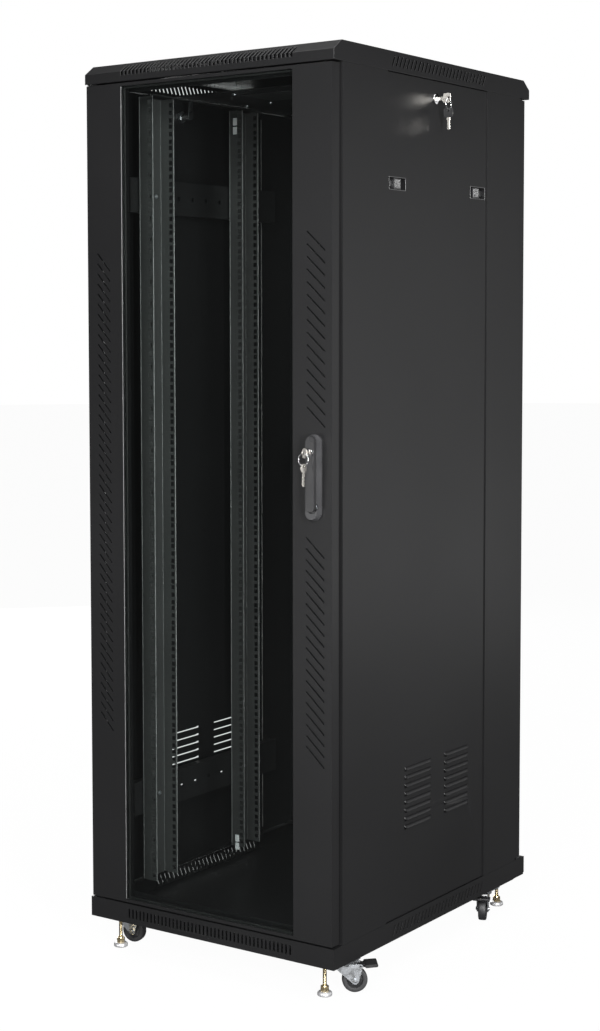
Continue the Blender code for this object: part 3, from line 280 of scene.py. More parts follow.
def clear_glass():
    """Tinted tempered pane: it lets the view through and reflects by its angle."""
    made, tree, shader = new_material("pane_glass")
    tree.nodes.remove(shader)
    through = tree.nodes.new("ShaderNodeBsdfTransparent")
    through.inputs["Color"].default_value = GLASS_TINT
    gloss = tree.nodes.new("ShaderNodeBsdfGlossy")
    gloss.inputs["Roughness"].default_value = 0.02
    gloss.inputs["Color"].default_value = (1, 1, 1, 1)
    fresnel = tree.nodes.new("ShaderNodeFresnel")
    fresnel.inputs["IOR"].default_value = GLASS_IOR
    mix = tree.nodes.new("ShaderNodeMixShader")
    haze = tree.nodes.new("ShaderNodeBsdfDiffuse")
    haze.inputs["Color"].default_value = (0.9, 0.92, 0.92, 1)
    hazed = tree.nodes.new("ShaderNodeMixShader")
    hazed.inputs["Fac"].default_value = GLASS_HAZE
    tree.links.new(through.outputs[0], hazed.inputs[1])
    tree.links.new(haze.outputs[0], hazed.inputs[2])
    tree.links.new(fresnel.outputs["Fac"], mix.inputs["Fac"])
    tree.links.new(hazed.outputs[0], mix.inputs[1])
    tree.links.new(gloss.outputs[0], mix.inputs[2])
    tree.links.new(mix.outputs[0], tree.nodes["Material Output"].inputs["Surface"])
    return made


PANEL_PAINT = surface("panel_powder_coat", (0.0075, 0.0075, 0.0079), (0.0095, 0.0095, 0.0100),
                      0.40, 0.035, patch=2.2, grain=(0.0009, 0.000035), specular=0.3)
FRAME_PAINT = surface("frame_powder_coat", (0.0230, 0.0230, 0.0235), (0.0280, 0.0280, 0.0285),
                      0.33, 0.04, patch=4.0, grain=(0.0009, 0.00003))
BRACE_PAINT = surface("brace_powder_coat", (0.0100, 0.0100, 0.0105), (0.0130, 0.0130, 0.0135),
                      0.36, 0.04, patch=6.0, grain=(0.0009, 0.00003))
RAIL_PAINT = surface("rail_powder_coat", (0.046, 0.047, 0.0465), (0.056, 0.057, 0.0565),
                     0.34, 0.04, patch=8.0, grain=(0.0009, 0.00003))
# Light grey for the fold beads: a painted highlight standing in for the light caught by the rounded folds of the
# black paint.
PAINTED_FOLD_HIGHLIGHT = surface("painted_fold_highlight", (0.22, 0.22, 0.22), (0.28, 0.28, 0.28), 0.28, 0.05,
                     patch=20.0, grain=(0.0008, 0.00002))
KEY_METAL = surface("nickel_silver", (0.78, 0.75, 0.70), (0.66, 0.63, 0.58), 0.24, 0.06,
                    metallic=1.0, patch=150.0, grain=(0.0006, 0.000015))
SATIN_STEEL = surface("foot_satin_steel", (0.82, 0.82, 0.83), (0.72, 0.72, 0.74), 0.40, 0.05,
                      metallic=0.7, patch=120.0, grain=(0.0006, 0.00002))
# Near-white for the door and lever edge beads: a painted highlight of their rounded edges.
PAINTED_BEND_HIGHLIGHT = surface("painted_bend_highlight", (0.62, 0.62, 0.64), (0.54, 0.54, 0.56), 0.22, 0.04,
                      patch=20.0, grain=(0.0008, 0.00002))
# Near-white matte colour for the plated clamps: a painted highlight standing in for their glint.
PAINTED_CLIP_GLINT = surface("zinc_clip_painted_glint", (0.97, 0.98, 0.99), (0.92, 0.93, 0.95), 0.55, 0.06,
                    patch=80.0, grain=(0.0007, 0.00002))
HANDLE_PAINT = surface("handle_satin_black", (0.022, 0.022, 0.023), (0.030, 0.030, 0.031),
                       0.30, 0.03, patch=30.0, grain=(0.0007, 0.00002))
HOUSING_PAINT = surface("handle_housing_gloss", (0.038, 0.038, 0.040), (0.050, 0.050, 0.052),
                        0.24, 0.03, patch=30.0, grain=(0.0007, 0.00001), coat=0.5)
CHROME = surface("bright_chrome", (0.78, 0.78, 0.79), (0.70, 0.70, 0.71), 0.12, 0.04,
                 metallic=1.0, patch=120.0, grain=(0.0012, 0.000008))
ZINC = surface("zinc_plate", (0.66, 0.68, 0.70), (0.52, 0.54, 0.57), 0.32, 0.07,
               metallic=1.0, patch=90.0, grain=(0.0008, 0.00002))
BRASS = surface("passivated_brass", (0.80, 0.68, 0.44), (0.68, 0.56, 0.34), 0.30, 0.06,
                metallic=1.0, patch=140.0, grain=(0.0006, 0.000012))
TYRE = surface("castor_tread", (0.015, 0.015, 0.016), (0.022, 0.022, 0.024), 0.52, 0.06,
               patch=60.0, grain=(0.0008, 0.00004))
BLACK_PLASTIC = surface("moulded_black", (0.012, 0.012, 0.013), (0.019, 0.019, 0.020), 0.36,
                        0.05, patch=80.0, grain=(0.0006, 0.00003))
GLOSS_PLASTIC = surface("latch_gloss_black", (0.014, 0.014, 0.015), (0.020, 0.020, 0.021),
                        0.14, 0.04, patch=60.0, grain=(0.0008, 0.000006), coat=0.4)
GASKET = surface("gasket_rubber", (0.008, 0.008, 0.008), (0.013, 0.013, 0.013), 0.62, 0.05,
                 patch=60.0, grain=(0.0007, 0.00004))
GLASS = clear_glass()


# ---- mesh tools
def piece(name, body, material, fill, solid=0.0, bevel=0.0, smooth=None, segments=2,
          stands_for=()):
    """A mesh from fill(grid), in world metres, that rides on a body."""
    grid = bmesh.new()
    fill(grid)
    mesh = bpy.data.meshes.new(name)
    grid.to_mesh(mesh)
    grid.free()
    mesh.materials.append(material)
    if smooth is not None:
        mesh.polygons.foreach_set("use_smooth", [True] * len(mesh.polygons))
        mesh.set_sharp_from_angle(angle=math.radians(smooth))
    made = bpy.data.objects.new(name, mesh)
    bpy.context.scene.collection.objects.link(made)
    if solid:
        wall = made.modifiers.new("wall", "SOLIDIFY")
        wall.thickness, wall.offset = solid, -1.0
    if bevel:
        edge = made.modifiers.new("edge", "BEVEL")
        edge.width, edge.segments = bevel, segments
        edge.limit_method, edge.angle_limit = "ANGLE", math.radians(35)
        edge.harden_normals = smooth is not None
    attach(made, body)
    if stands_for:
        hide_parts(*stands_for)
    return made


def block(grid, low, high, turn=None):
    low, high = Vector(low), Vector(high)
    place = Matrix.Translation((low + high) / 2)
    if turn is not None:
        place = place @ turn
    bmesh.ops.create_cube(grid, size=1.0, matrix=place @ Matrix.Diagonal((*(high - low), 1)))


def plan_block(grid, low, high, turn=None):
    block(grid, at(*low), at(*high), turn)


def side_block(grid, side, across, depths, heights):
    """A block between two distances from the middle, on one side of the cabinet."""
    x0, x1 = sorted(side * x for x in across)
    plan_block(grid, (x0, depths[0], heights[0]), (x1, depths[1], heights[1]))


AXES = {"X": Matrix.Rotation(math.radians(90), 4, "Y"),
        "-X": Matrix.Rotation(math.radians(-90), 4, "Y"),
        "Y": Matrix.Rotation(math.radians(-90), 4, "X"),
        "-Y": Matrix.Rotation(math.radians(90), 4, "X"),
        "Z": Matrix.Identity(4), "-Z": Matrix.Rotation(math.radians(180), 4, "X")}


def lathe(grid, profile, place, segments=48, closed=False):
    """Turn (radius, height) points about Z, then carry them by the matrix place.

    A closed profile makes a ring; an open one starts and ends on the axis.
    """
    rings = []
    for radius, height in profile:
        if radius < 1e-7:
            rings.append([grid.verts.new(place @ Vector((0, 0, height)))])
        else:
            rings.append([grid.verts.new(place @ Vector((
                radius * math.cos(2 * math.pi * k / segments),
                radius * math.sin(2 * math.pi * k / segments), height)))
                for k in range(segments)])
    pairs = list(zip(rings, rings[1:]))
    if closed:
        pairs.append((rings[-1], rings[0]))
    for lower, upper in pairs:
        for k in range(segments):
            j = (k + 1) % segments
            if len(lower) == 1:
                grid.faces.new((lower[0], upper[j], upper[k]))
            elif len(upper) == 1:
                grid.faces.new((lower[k], lower[j], upper[0]))
            else:
                grid.faces.new((lower[k], lower[j], upper[j], upper[k]))


def facing(direction, point):
    return Matrix.Translation(point) @ AXES[direction]


def sheet(grid, path, rows, holes, flip=False):
    """Quads between the points of path (world X, Y) at the heights in rows, less the holes.

    holes(column, row) is true where the sheet is open.
    """
    columns = [[grid.verts.new((x, y, z)) for z in rows] for x, y in path]
    for i, (near, far) in enumerate(zip(columns, columns[1:])):
        for j in range(len(rows) - 1):
            if holes(i, j):
                continue
            quad = (near[j], far[j], far[j + 1], near[j + 1])
            grid.faces.new(tuple(reversed(quad)) if flip else quad)
    loose = [v for v in grid.verts if not v.link_faces]
    bmesh.ops.delete(grid, geom=loose, context="VERTS")


def outline_plate(grid, outline, thickness, place):
    """A flat closed outline in X, Y, given a thickness along Z, carried by place."""
    low = [grid.verts.new(place @ Vector((x, y, -thickness / 2))) for x, y in outline]
    high = [grid.verts.new(place @ Vector((x, y, thickness / 2))) for x, y in outline]
    grid.faces.new(list(reversed(low)))
    grid.faces.new(high)
    count = len(outline)
    for k in range(count):
        j = (k + 1) % count
        grid.faces.new((low[k], low[j], high[j], high[k]))


def round_corners(width, height, radius, steps=6):
    points = []
    for cx, cy, start in ((width / 2 - radius, height / 2 - radius, 0),
                          (-width / 2 + radius, height / 2 - radius, 90),
                          (-width / 2 + radius, -height / 2 + radius, 180),
                          (width / 2 - radius, -height / 2 + radius, 270)):
        for step in range(steps + 1):
            angle = math.radians(start + 90 * step / steps)
            points.append((cx + radius * math.cos(angle), cy + radius * math.sin(angle)))
    return points


def pan_head(grid, direction, point, radius=0.0048, height=0.0026):
    """A domed screw head with a shallow dish in its middle."""
    profile = [(0, height * 0.72), (radius * 0.28, height * 0.74), (radius * 0.40, height),
               (radius * 0.72, height * 0.88), (radius * 0.95, height * 0.45), (radius, 0.0),
               (0, 0.0)]
    lathe(grid, list(reversed(profile)), facing(direction, point), 20)


def hex_nut(grid, direction, point, radius, height, bore=0.0):
    """A hexagon that stands on point; with a bore it is a nut, and without one a bolt's head."""
    place = facing(direction, point)
    corners = [(radius * math.cos(math.radians(60 * k)), radius * math.sin(math.radians(60 * k)))
               for k in range(6)]
    if not bore:
        outline_plate(grid, corners, height, place @ Matrix.Translation((0, 0, height / 2)))
        return
    steps = 24
    rim = []
    for k in range(steps):
        angle = 2 * math.pi * k / steps
        sector = (angle + math.pi / 6) % (math.pi / 3) - math.pi / 6
        reach = radius * math.cos(math.pi / 6) / math.cos(math.pi / 6 - abs(sector))
        rim.append((reach, angle))
    rings = []
    for level in (0.0, height):
        for line in (rim, [(bore, angle) for _, angle in rim]):
            rings.append([grid.verts.new(place @ Vector((r * math.cos(a), r * math.sin(a), level)))
                          for r, a in line])
    low_out, low_in, high_out, high_in = rings
    for k in range(steps):
        j = (k + 1) % steps
        grid.faces.new((low_out[k], low_out[j], high_out[j], high_out[k]))
        grid.faces.new((low_in[j], low_in[k], high_in[k], high_in[j]))
        grid.faces.new((high_out[k], high_out[j], high_in[j], high_in[k]))
        grid.faces.new((low_out[j], low_out[k], low_in[k], low_in[j]))


# ---- materials on the CAD
def finish_cad():
    slots = {part["node"]: part["material_slot"] for part in frame["record"]["subparts"]}
    looks = {"panel_paint": PANEL_PAINT, "frame_paint": FRAME_PAINT, "tinted_glass": GLASS,
             "chrome": CHROME, "zinc": ZINC, "brass": BRASS, "tyre": TYRE,
             "black_plastic": BLACK_PLASTIC}
    for name, obj in NODES.items():
        look = looks.get(slots[name], PANEL_PAINT)
        if name == "front_handle_housing":
            look = HOUSING_PAINT
        elif name == "front_handle_lever":
            look = HANDLE_PAINT
        elif name in ("front_frame", "rear_frame"):
            look = PANEL_PAINT
        elif name.endswith("_latch"):
            look = GLOSS_PLASTIC
        elif name.endswith("_brace"):
            look = BRACE_PAINT
        if not obj.material_slots:
            obj.data.materials.append(None)
        for each in obj.material_slots:
            each.link = "OBJECT"
            each.material = look


SOFT_EDGES = {"top_cover": 0.0012, "base_frame": 0.0008, "front_door_frame": 0.0020,
              "front_frame": 0.0008, "rear_frame": 0.0008, "right_side_panel": 0.0007,
              "left_side_panel": 0.0007, "rear_door_panel": 0.0010,
              "front_handle_housing": 0.0010, "front_handle_lever": 0.0010}


def soften_edges():
    """A small radius on the folded and moulded edges, so that they catch the light."""
    for name, width in SOFT_EDGES.items():
        obj = NODES[name]
        weld = obj.modifiers.new("weld", "WELD")
        weld.merge_threshold = 0.00001
        flat = obj.modifiers.new("flat", "DECIMATE")
        flat.decimate_type = "DISSOLVE"
        flat.angle_limit = math.radians(1.0)
        edge = obj.modifiers.new("edge", "BEVEL")
        edge.width, edge.segments = width, 2
        edge.limit_method, edge.angle_limit = "ANGLE", math.radians(25)


# ---- rails
UNIT, UNITS = 0.04445, 37
HOLE_OFFSETS = (0.00635, 0.022225, 0.0381)      # the three holes of a unit
HOLE_X = 0.23255                  # the hole columns, from the cabinet's middle
HOLE = 0.0095
BEND = 0.0030
WEB_HOLE = 0.0060
RAIL_MARGIN = 0.006               # from a rail's end to its first unit
RAIL_SHEET = 0.002


def bend_points(corner, before, after, radius, steps=3):
    """Points of a rounded corner between two unit directions, in the plan."""
    centre = Vector(corner) - Vector(before) * radius + Vector(after) * radius
    points = []
    for step in range(steps + 1):
        angle = math.radians(90 * step / steps)
        points.append(centre - Vector(after) * radius * math.cos(angle)
                      + Vector(before) * radius * math.sin(angle))
    return [(p.x, p.y) for p in points]


def make_rail(node):
    """A channel rail with three square holes to a unit in both flanges and slots in its web."""
    low, high = span(node)
    side = 1 if high.x > 0 else -1
    inner, outer = sorted((abs(low.x), abs(high.x)))
    front, back = low.y, high.y
    bottom = low.z + RAIL_MARGIN
    path = [(inner, front), (HOLE_X - HOLE / 2, front), (HOLE_X + HOLE / 2, front)]
    path += bend_points((outer, front), (1, 0), (0, 1), BEND)
    middle = (front + back) / 2
    web = len(path)
    path += [(outer, middle - WEB_HOLE / 2), (outer, middle + WEB_HOLE / 2)]
    path += bend_points((outer, back), (0, 1), (-1, 0), BEND)
    path += [(HOLE_X + HOLE / 2, back), (HOLE_X - HOLE / 2, back), (inner, back)]
    world = [(MID_X + side * x, FRONT_Y + y) for x, y in path]
    rows = [low.z]
    for unit in range(UNITS):
        for offset in HOLE_OFFSETS:
            centre = bottom + unit * UNIT + offset
            rows += [centre - HOLE / 2, centre + HOLE / 2]
    rows.append(high.z)
    flanges = (1, len(path) - 3)

    def holes(column, row):
        if row % 2 == 0:
            return False
        return column in flanges or (column == web and (row // 2) % 3 == 1)

    piece(node + "_drilled", "cabinet", RAIL_PAINT,
          lambda grid: sheet(grid, world, rows, holes, flip=side < 0),
          solid=RAIL_SHEET, stands_for=[node])


SCREW_X = 0.2578
SCREW_DEPTHS = (0.148, 0.182, 0.470, 0.498)
SCREW_HEIGHTS = (0.298, 1.576)
CLAMP_X = (0.2375, 0.2480)
CLAMP_DEPTH = (0.4490, 0.4516)
CLAMP_Z = ((1.7265, 1.7430), (1.7460, 1.7625), (0.1150, 0.1310), (0.1335, 0.1495))


def rail_fixings():
    """Screws through the rails into the braces, and the plated clamps at the rear rails' ends."""
    def screws(grid):
        for side in SIDES.values():
            for depth in SCREW_DEPTHS:
                for height in SCREW_HEIGHTS:
                    pan_head(grid, "-X" if side > 0 else "X", at(side * SCREW_X, depth, height))
    piece("rail_screws", "cabinet", ZINC, screws, smooth=35)

    def clamps(grid):
        for side in SIDES.values():
            for heights in CLAMP_Z:
                side_block(grid, side, CLAMP_X, CLAMP_DEPTH, heights)
    # The clamps are plated zinc; their near-white colour is a painted highlight.
    piece("rear_rail_clamps", "cabinet", PAINTED_CLIP_GLINT, clamps, bevel=0.0016, segments=3)


# ---- louvres
LOUVRE_COLUMNS = ((0.271, 0.377), (0.435, 0.537))
LOUVRE_PITCH, LOUVRE_COUNT, LOUVRE_MIDDLE = 0.0170, 8, 0.345
LOUVRE_TOP, LOUVRE_LIP, LOUVRE_RISE = 0.0070, -0.0006, 0.0036
LOUVRE_ROUND = 0.009              # length of a hood's rounded end
LIP_DEPTHS = (0.0031, 0.0023)     # behind the panel's face
LIP_HEIGHTS = (0.0050, 0.0012)    # below the louvre


def louvre(grid, side, start, end, height, face):
    """One pressed hood: it swells from its top edge to an open lip, with rounded ends."""
    long_steps, high_steps = 22, 7
    rows = []
    for j in range(high_steps + 1):
        v = j / high_steps
        row = []
        for i in range(long_steps + 1):
            u = i / long_steps
            near_end = min(u, 1 - u) * (end - start) / LOUVRE_ROUND
            swell = math.sqrt(max(0.0, 1 - (1 - min(near_end, 1)) ** 2))
            rise = LOUVRE_RISE * swell * math.sin(v * math.pi / 2) ** 0.8
            z = height + LOUVRE_TOP + (LOUVRE_LIP - LOUVRE_TOP) * v * (0.35 + 0.65 * swell)
            row.append(grid.verts.new(at(side * (face + 0.0002 + rise),
                                         start + (end - start) * u, z)))
        rows.append(row)
    for upper, lower in zip(rows, rows[1:]):
        for k in range(long_steps):
            quad = (lower[k], lower[k + 1], upper[k + 1], upper[k])
            grid.faces.new(quad if side > 0 else tuple(reversed(quad)))


def make_louvres(side_name):
    """The pressed hoods, and a strip under each behind the panel's skin."""
    side = SIDES[side_name]
    face = reach(side_name + "_side_panel")
    first = LOUVRE_MIDDLE - LOUVRE_PITCH * (LOUVRE_COUNT - 1) / 2
    places = [(start, end, first + row * LOUVRE_PITCH)
              for start, end in LOUVRE_COLUMNS for row in range(LOUVRE_COUNT)]

    def fill(grid):
        for start, end, z in places:
            louvre(grid, side, start - 0.001, end + 0.001, z, face)
    piece(side_name + "_louvres", side_name + "_panel", PANEL_PAINT, fill,
          solid=0.0008, smooth=50)

    def lips(grid):
        for start, end, z in places:
            side_block(grid, side, [face - depth for depth in LIP_DEPTHS],
                       (start - 0.003, end + 0.003), [z - drop for drop in LIP_HEIGHTS])
    piece(side_name + "_louvre_lips", side_name + "_panel", PANEL_PAINT, lips,
          bevel=0.0002)


# ---- castors and feet
CASTORS = {joint["name"].removesuffix("_swivel"): Vector(joint["pos_m"])
           for joint in frame["joints"] if joint["name"].endswith("_swivel")}

# Turned profiles: (radius, height) points. The tread and the hub are half of theirs.
TREAD = [(0.0165, -0.0078), (0.0215, -0.0085), (0.0236, -0.0080), (0.0247, -0.0062),
         (0.0250, -0.0030)]
HUB = [(0.0034, -0.0095), (0.0064, -0.0095), (0.0072, -0.0088), (0.0080, -0.0062),
       (0.0140, -0.0055), (0.0152, -0.0070), (0.0163, -0.0070)]
AXLE_CAP = [(0.0, 0.0126), (0.0044, 0.0126), (0.0043, 0.0138), (0.0032, 0.0150), (0.0, 0.0153)]
RACE = [(0.0172, 0.0600), (0.0186, 0.0604), (0.0192, 0.0616), (0.0186, 0.0630), (0.0172, 0.0636)]
FOOT_DISC = [(0.0, 0.0), (0.0132, 0.0), (0.0142, 0.0007), (0.0145, 0.0018), (0.0145, 0.0052),
             (0.0139, 0.0068), (0.0122, 0.0082), (0.0102, 0.0089), (0.0, 0.0090)]
STUD_FOOT = [(0.0, 0.0184), (0.0062, 0.0184), (0.0060, 0.0200), (0.0046, 0.0216)]
THREAD_START, THREAD_PITCH = 0.0222, 0.00125
BOLT_X, BOLT_Y, BOLT_Z = 0.0205, 0.0200, 0.0646  # a plate's bolts, from the kingpin and floor


def mirrored(half):
    """A profile and its reflection across height zero."""
    return half + [(radius, -height) for radius, height in reversed(half)]


def wheel_turn(corner):
    """Matrix that carries a wheel drawn about Z at the origin on to its axle."""
    spin = next(j for j in frame["joints"] if j["name"] == corner + "_wheel_spin")
    return (Matrix.Translation(Vector(spin["pos_m"]))
            @ Vector(spin["axis"]).to_track_quat("Z", "Y").to_matrix().to_4x4())


def make_wheel(corner):
    """Tread and hub of a wheel, and the ends of its axle in the fork."""
    place = wheel_turn(corner)
    piece(corner + "_tyre", corner + "_wheel", TYRE,
          lambda grid: lathe(grid, mirrored(TREAD), place, 56, closed=True), smooth=40,
          stands_for=[corner + "_castor_wheel"])
    piece(corner + "_hub", corner + "_wheel", BLACK_PLASTIC,
          lambda grid: lathe(grid, mirrored(HUB), place, 48, closed=True), smooth=40)

    def caps(grid):
        for way in ("Z", "-Z"):
            lathe(grid, AXLE_CAP, place @ AXES[way], 24)
    piece(corner + "_axle_caps", corner + "_fork", ZINC, caps, smooth=40)


def make_swivel(corner):
    """The ball race under the plate and the four bolts that hold the plate."""
    pin = CASTORS[corner]
    place = Matrix.Translation(Vector((pin.x, pin.y, 0)))
    piece(corner + "_race", "cabinet", ZINC,
          lambda grid: lathe(grid, RACE, place, 40, closed=True), smooth=60)

    def bolts(grid):
        for dx in (-BOLT_X, BOLT_X):
            for dy in (-BOLT_Y, BOLT_Y):
                hex_nut(grid, "-Z", Vector((pin.x + dx, pin.y + dy, BOLT_Z)), 0.0050, 0.0032)
    piece(corner + "_plate_bolts", "cabinet", ZINC, bolts, bevel=0.0004)


def make_foot(corner):
    """The levelling foot's disc, hexagon and threaded stud, and the nut that locks it."""
    low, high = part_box(corner + "_levelling_foot")
    x, y = (low[0] + high[0]) / 2, (low[1] + high[1]) / 2
    place = Matrix.Translation((x, y, 0))
    body = corner + "_foot"
    piece(corner + "_foot_disc", body, SATIN_STEEL,
          lambda grid: lathe(grid, FOOT_DISC, place, 56), smooth=40,
          stands_for=[corner + "_levelling_foot"])

    def hexagon(grid):
        hex_nut(grid, "Z", Vector((x, y, 0.0088)), 0.0092, 0.0098)
    piece(corner + "_foot_hexagon", body, BRASS, hexagon, bevel=0.0009)
    thread = list(STUD_FOOT)
    z = THREAD_START
    while z < high[2] - 0.001:
        thread += [(0.0036, z), (0.0040, z + 0.0005), (0.0036, z + 0.0010)]
        z += THREAD_PITCH
    thread += [(0.0034, high[2]), (0.0, high[2])]
    piece(corner + "_foot_stud", body, BRASS,
          lambda grid: lathe(grid, thread, place, 20), smooth=60)

    def jam_nut(grid):
        hex_nut(grid, "Z", Vector((x, y, 0.0545)), 0.0078, 0.0055, bore=0.0044)
    piece(corner + "_jam_nut", "cabinet", BRASS, jam_nut)


# ---- door glass
GASKET_WIDTH = 0.0045


def make_gasket():
    """Strips of rubber behind the pane's edge: two full height, two fitted between them."""
    low, high = span("front_door_glass")
    edge = abs(high.x)
    depths = (high.y + 0.0002, high.y + 0.0030)

    def fill(grid):
        for side in SIDES.values():
            side_block(grid, side, (edge - GASKET_WIDTH, edge - 0.0002), depths,
                       (low.z, high.z))
        for z0, z1 in ((low.z, low.z + 0.004), (high.z - 0.004, high.z)):
            plan_block(grid, (low.x + 0.0047, depths[0], z0), (high.x - 0.0047, depths[1], z1))
    piece("glass_gasket", "front_door", GASKET, fill, bevel=0.0009)


# ---- keys and locks
BOW_RADII = (0.0088, 0.0100)      # half length and half width of a key's bow
KEY_HOLE = (0.0052, 0.0027)       # distance from the bow's end, radius
BLADE_HALF = 0.0037
KEY_SHEET, GRIP_SHEET = 0.0020, 0.0036
KEY_SHOULDER = 0.0178             # where the blade starts, from the bow's end
NOTCHES = (0.0021, 0.0013, 0.0024, 0.0010, 0.0018, 0.0014)
WARD = 0.0030                     # pitch of the notches


def key_frame(node, axis, way, thin):
    """Matrix from a key's own plan, with X along it from its bow's end and Y across, to world."""
    low, high = world_box(node)
    number = "XYZ".index(axis)
    start = (low + high) / 2
    start[number] = low[number] if way > 0 else high[number]
    along, flat = Vector(), Vector()
    along[number] = way
    flat["XYZ".index(thin)] = 1
    across = flat.cross(along)
    place = Matrix((along, across, flat)).transposed().to_4x4()
    return Matrix.Translation(start) @ place, high[number] - low[number]


def key_outline(length, square):
    """The bow, a shoulder and a notched blade, in order round the key."""
    points = []
    for step in range(31):
        angle = math.radians(30 + 300 * step / 30)
        cosine, sine = math.cos(angle), math.sin(angle)
        reach = (abs(cosine) ** square + abs(sine) ** square) ** (-1 / square)
        points.append((BOW_RADII[0] * (1 + reach * cosine), BOW_RADII[1] * reach * sine))
    points += [(KEY_SHOULDER, -BLADE_HALF), (length - 0.0018, -BLADE_HALF), (length, -0.0016),
               (length, 0.0008)]
    u = length - 0.0022
    for depth in NOTCHES:
        if u - WARD < 0.0195:
            break
        points += [(u, BLADE_HALF - 0.0004), (u - WARD * 0.35, BLADE_HALF - depth),
                   (u - WARD * 0.65, BLADE_HALF - depth)]
        u -= WARD
    points += [(u, BLADE_HALF), (KEY_SHOULDER, BLADE_HALF)]
    return points


def key_sheet(grid, outline, place):
    """A flat face inside an outline, with the hole for the key ring in it."""
    centre, radius = KEY_HOLE
    steps = 20
    hole = [(centre + radius * math.cos(2 * math.pi * k / steps),
             radius * math.sin(2 * math.pi * k / steps)) for k in range(steps)]
    edges = []
    for ring in (outline, hole):
        verts = [grid.verts.new(place @ Vector((x, y, 0))) for x, y in ring]
        edges += [grid.edges.new((a, b)) for a, b in zip(verts, verts[1:] + verts[:1])]
    bmesh.ops.triangle_fill(grid, edges=edges, use_beauty=True)
    bmesh.ops.recalc_face_normals(grid, faces=grid.faces[:])


def make_key(node, body, axis, way, thin, square):
    """A flat key that points along axis, thin across another; square shapes its bow."""
    place, length = key_frame(node, axis, way, thin)
    made = piece(node + "_cut", body, KEY_METAL,
                 lambda grid: key_sheet(grid, key_outline(length, square), place),
                 solid=KEY_SHEET, bevel=0.0003, stands_for=[node])
    made.modifiers["wall"].offset = 0.0


def make_bow_cover(node, body, axis, way, thin):
    """The moulded grip round a key's bow."""
    place, _ = key_frame(node, axis, way, thin)
    outline = [(0.0094 + u, v * (1.0 - 6.0 * u))
               for u, v in round_corners(0.0186, 0.0200, 0.0042)]
    made = piece(node + "_grip", body, BLACK_PLASTIC,
                 lambda grid: key_sheet(grid, outline, place), solid=GRIP_SHEET, bevel=0.0008,
                 segments=3)
    made.modifiers["wall"].offset = 0.0


def make_ring(node, body, direction):
    """A split ring: two turns of round wire side by side."""
    low, high = world_box(node)
    number = "XYZ".index(direction)
    across = max(high - low) / 2
    wire = (high - low)[number] / 3.2
    radius = across - wire

    def fill(grid):
        for turn in (-1, 1):
            profile = [(radius + wire * math.cos(math.radians(30 * k)),
                        turn * wire * 0.95 + wire * math.sin(math.radians(30 * k)))
                       for k in range(12)]
            lathe(grid, profile, facing(direction, (low + high) / 2), 72, closed=True)
    piece(node + "_turns", body, CHROME, fill, smooth=80, stands_for=[node])


PLUG_BORE = 0.0049
COLLAR, SLEEVE, COLLAR_DEPTH = 0.0110, 0.0083, 0.0040


def make_barrel(node, body, direction, collar=COLLAR, sleeve=SLEEVE, depth=COLLAR_DEPTH,
                nut=True):
    """A turned lock body; direction points from its face into the cabinet."""
    low, high = world_box(node)
    number = "XYZ".index(direction[-1])
    length = (high - low)[number]
    face = (low + high) / 2
    face[number] = low[number] if len(direction) == 1 else high[number]
    step = Vector()
    step[number] = 1 if len(direction) == 1 else -1
    profile = [(PLUG_BORE, 0.0008), (PLUG_BORE + 0.0007, 0.0), (collar - 0.0018, 0.0),
               (collar - 0.0006, 0.0006), (collar, 0.0018), (collar, depth - 0.0002),
               (sleeve, depth), (sleeve, length), (PLUG_BORE, length)]
    piece(node + "_turned", body, CHROME,
          lambda grid: lathe(grid, profile, facing(direction, face), 56, closed=True),
          smooth=35, stands_for=[node])
    if nut:
        piece(node + "_nut", body, ZINC,
              lambda grid: hex_nut(grid, direction, face + step * 0.0066, 0.0132, 0.0040,
                                   bore=sleeve + 0.0002))


# ---- panel latches
RIDGES, RIDGE_PITCH = 5, 0.0045
BOLT_LENGTH, POCKET_LENGTH = 0.0270, 0.0620
RIM = 0.0016


def make_latch(side_name, end_name):
    """Finger ridges on the bolt and a thin rim round its pocket."""
    node = f"{side_name}_{end_name}_latch"
    side = SIDES[side_name]
    low, high = span(node)
    face = reach(node)
    if end_name == "front":
        bolt, pocket = high.y - BOLT_LENGTH, high.y - 0.0480
    else:
        bolt, pocket = low.y, low.y - 0.0140

    def ridges(grid):
        for k in range(RIDGES):
            y = bolt + RIDGE_PITCH + k * RIDGE_PITCH
            side_block(grid, side, (face - 0.0008, face + 0.0012), (y - 0.0011, y + 0.0011),
                       (low.z + 0.0012, high.z - 0.0012))
    piece(node + "_ridges", node, GLOSS_PLASTIC, ridges, bevel=0.0007)

    skin = reach(side_name + "_side_panel")
    z0, z1 = low.z - 0.0015, high.z + 0.0015
    y0, y1 = pocket, pocket + POCKET_LENGTH
    full, between = (z0 - RIM, z1 + RIM), (y0 + 0.0001, y1 - 0.0001)

    def border(grid):
        for depths, heights in (((y0 - RIM, y0), full), ((y1, y1 + RIM), full),
                                (between, (z0 - RIM, z0)), (between, (z1, z1 + RIM))):
            side_block(grid, side, (skin + 0.0001, skin + 0.0009), depths, heights)
    piece(node + "_rim", side_name + "_panel", GLOSS_PLASTIC, border,
          bevel=0.0003)


# ---- inside the cabinet
CEILING_SCREWS = ((0.2445, 0.498), (0.164, 0.475), (0.142, 0.305), (0.164, 0.640))
FAN_OPENING = 0.124
FAN_X, FAN_DEPTHS = (-0.080, 0.080), (0.390, 0.570)
TOP_BAR = ((0.2725, 0.2826), (0.1975, 0.6045), (1.7905, 1.7934))


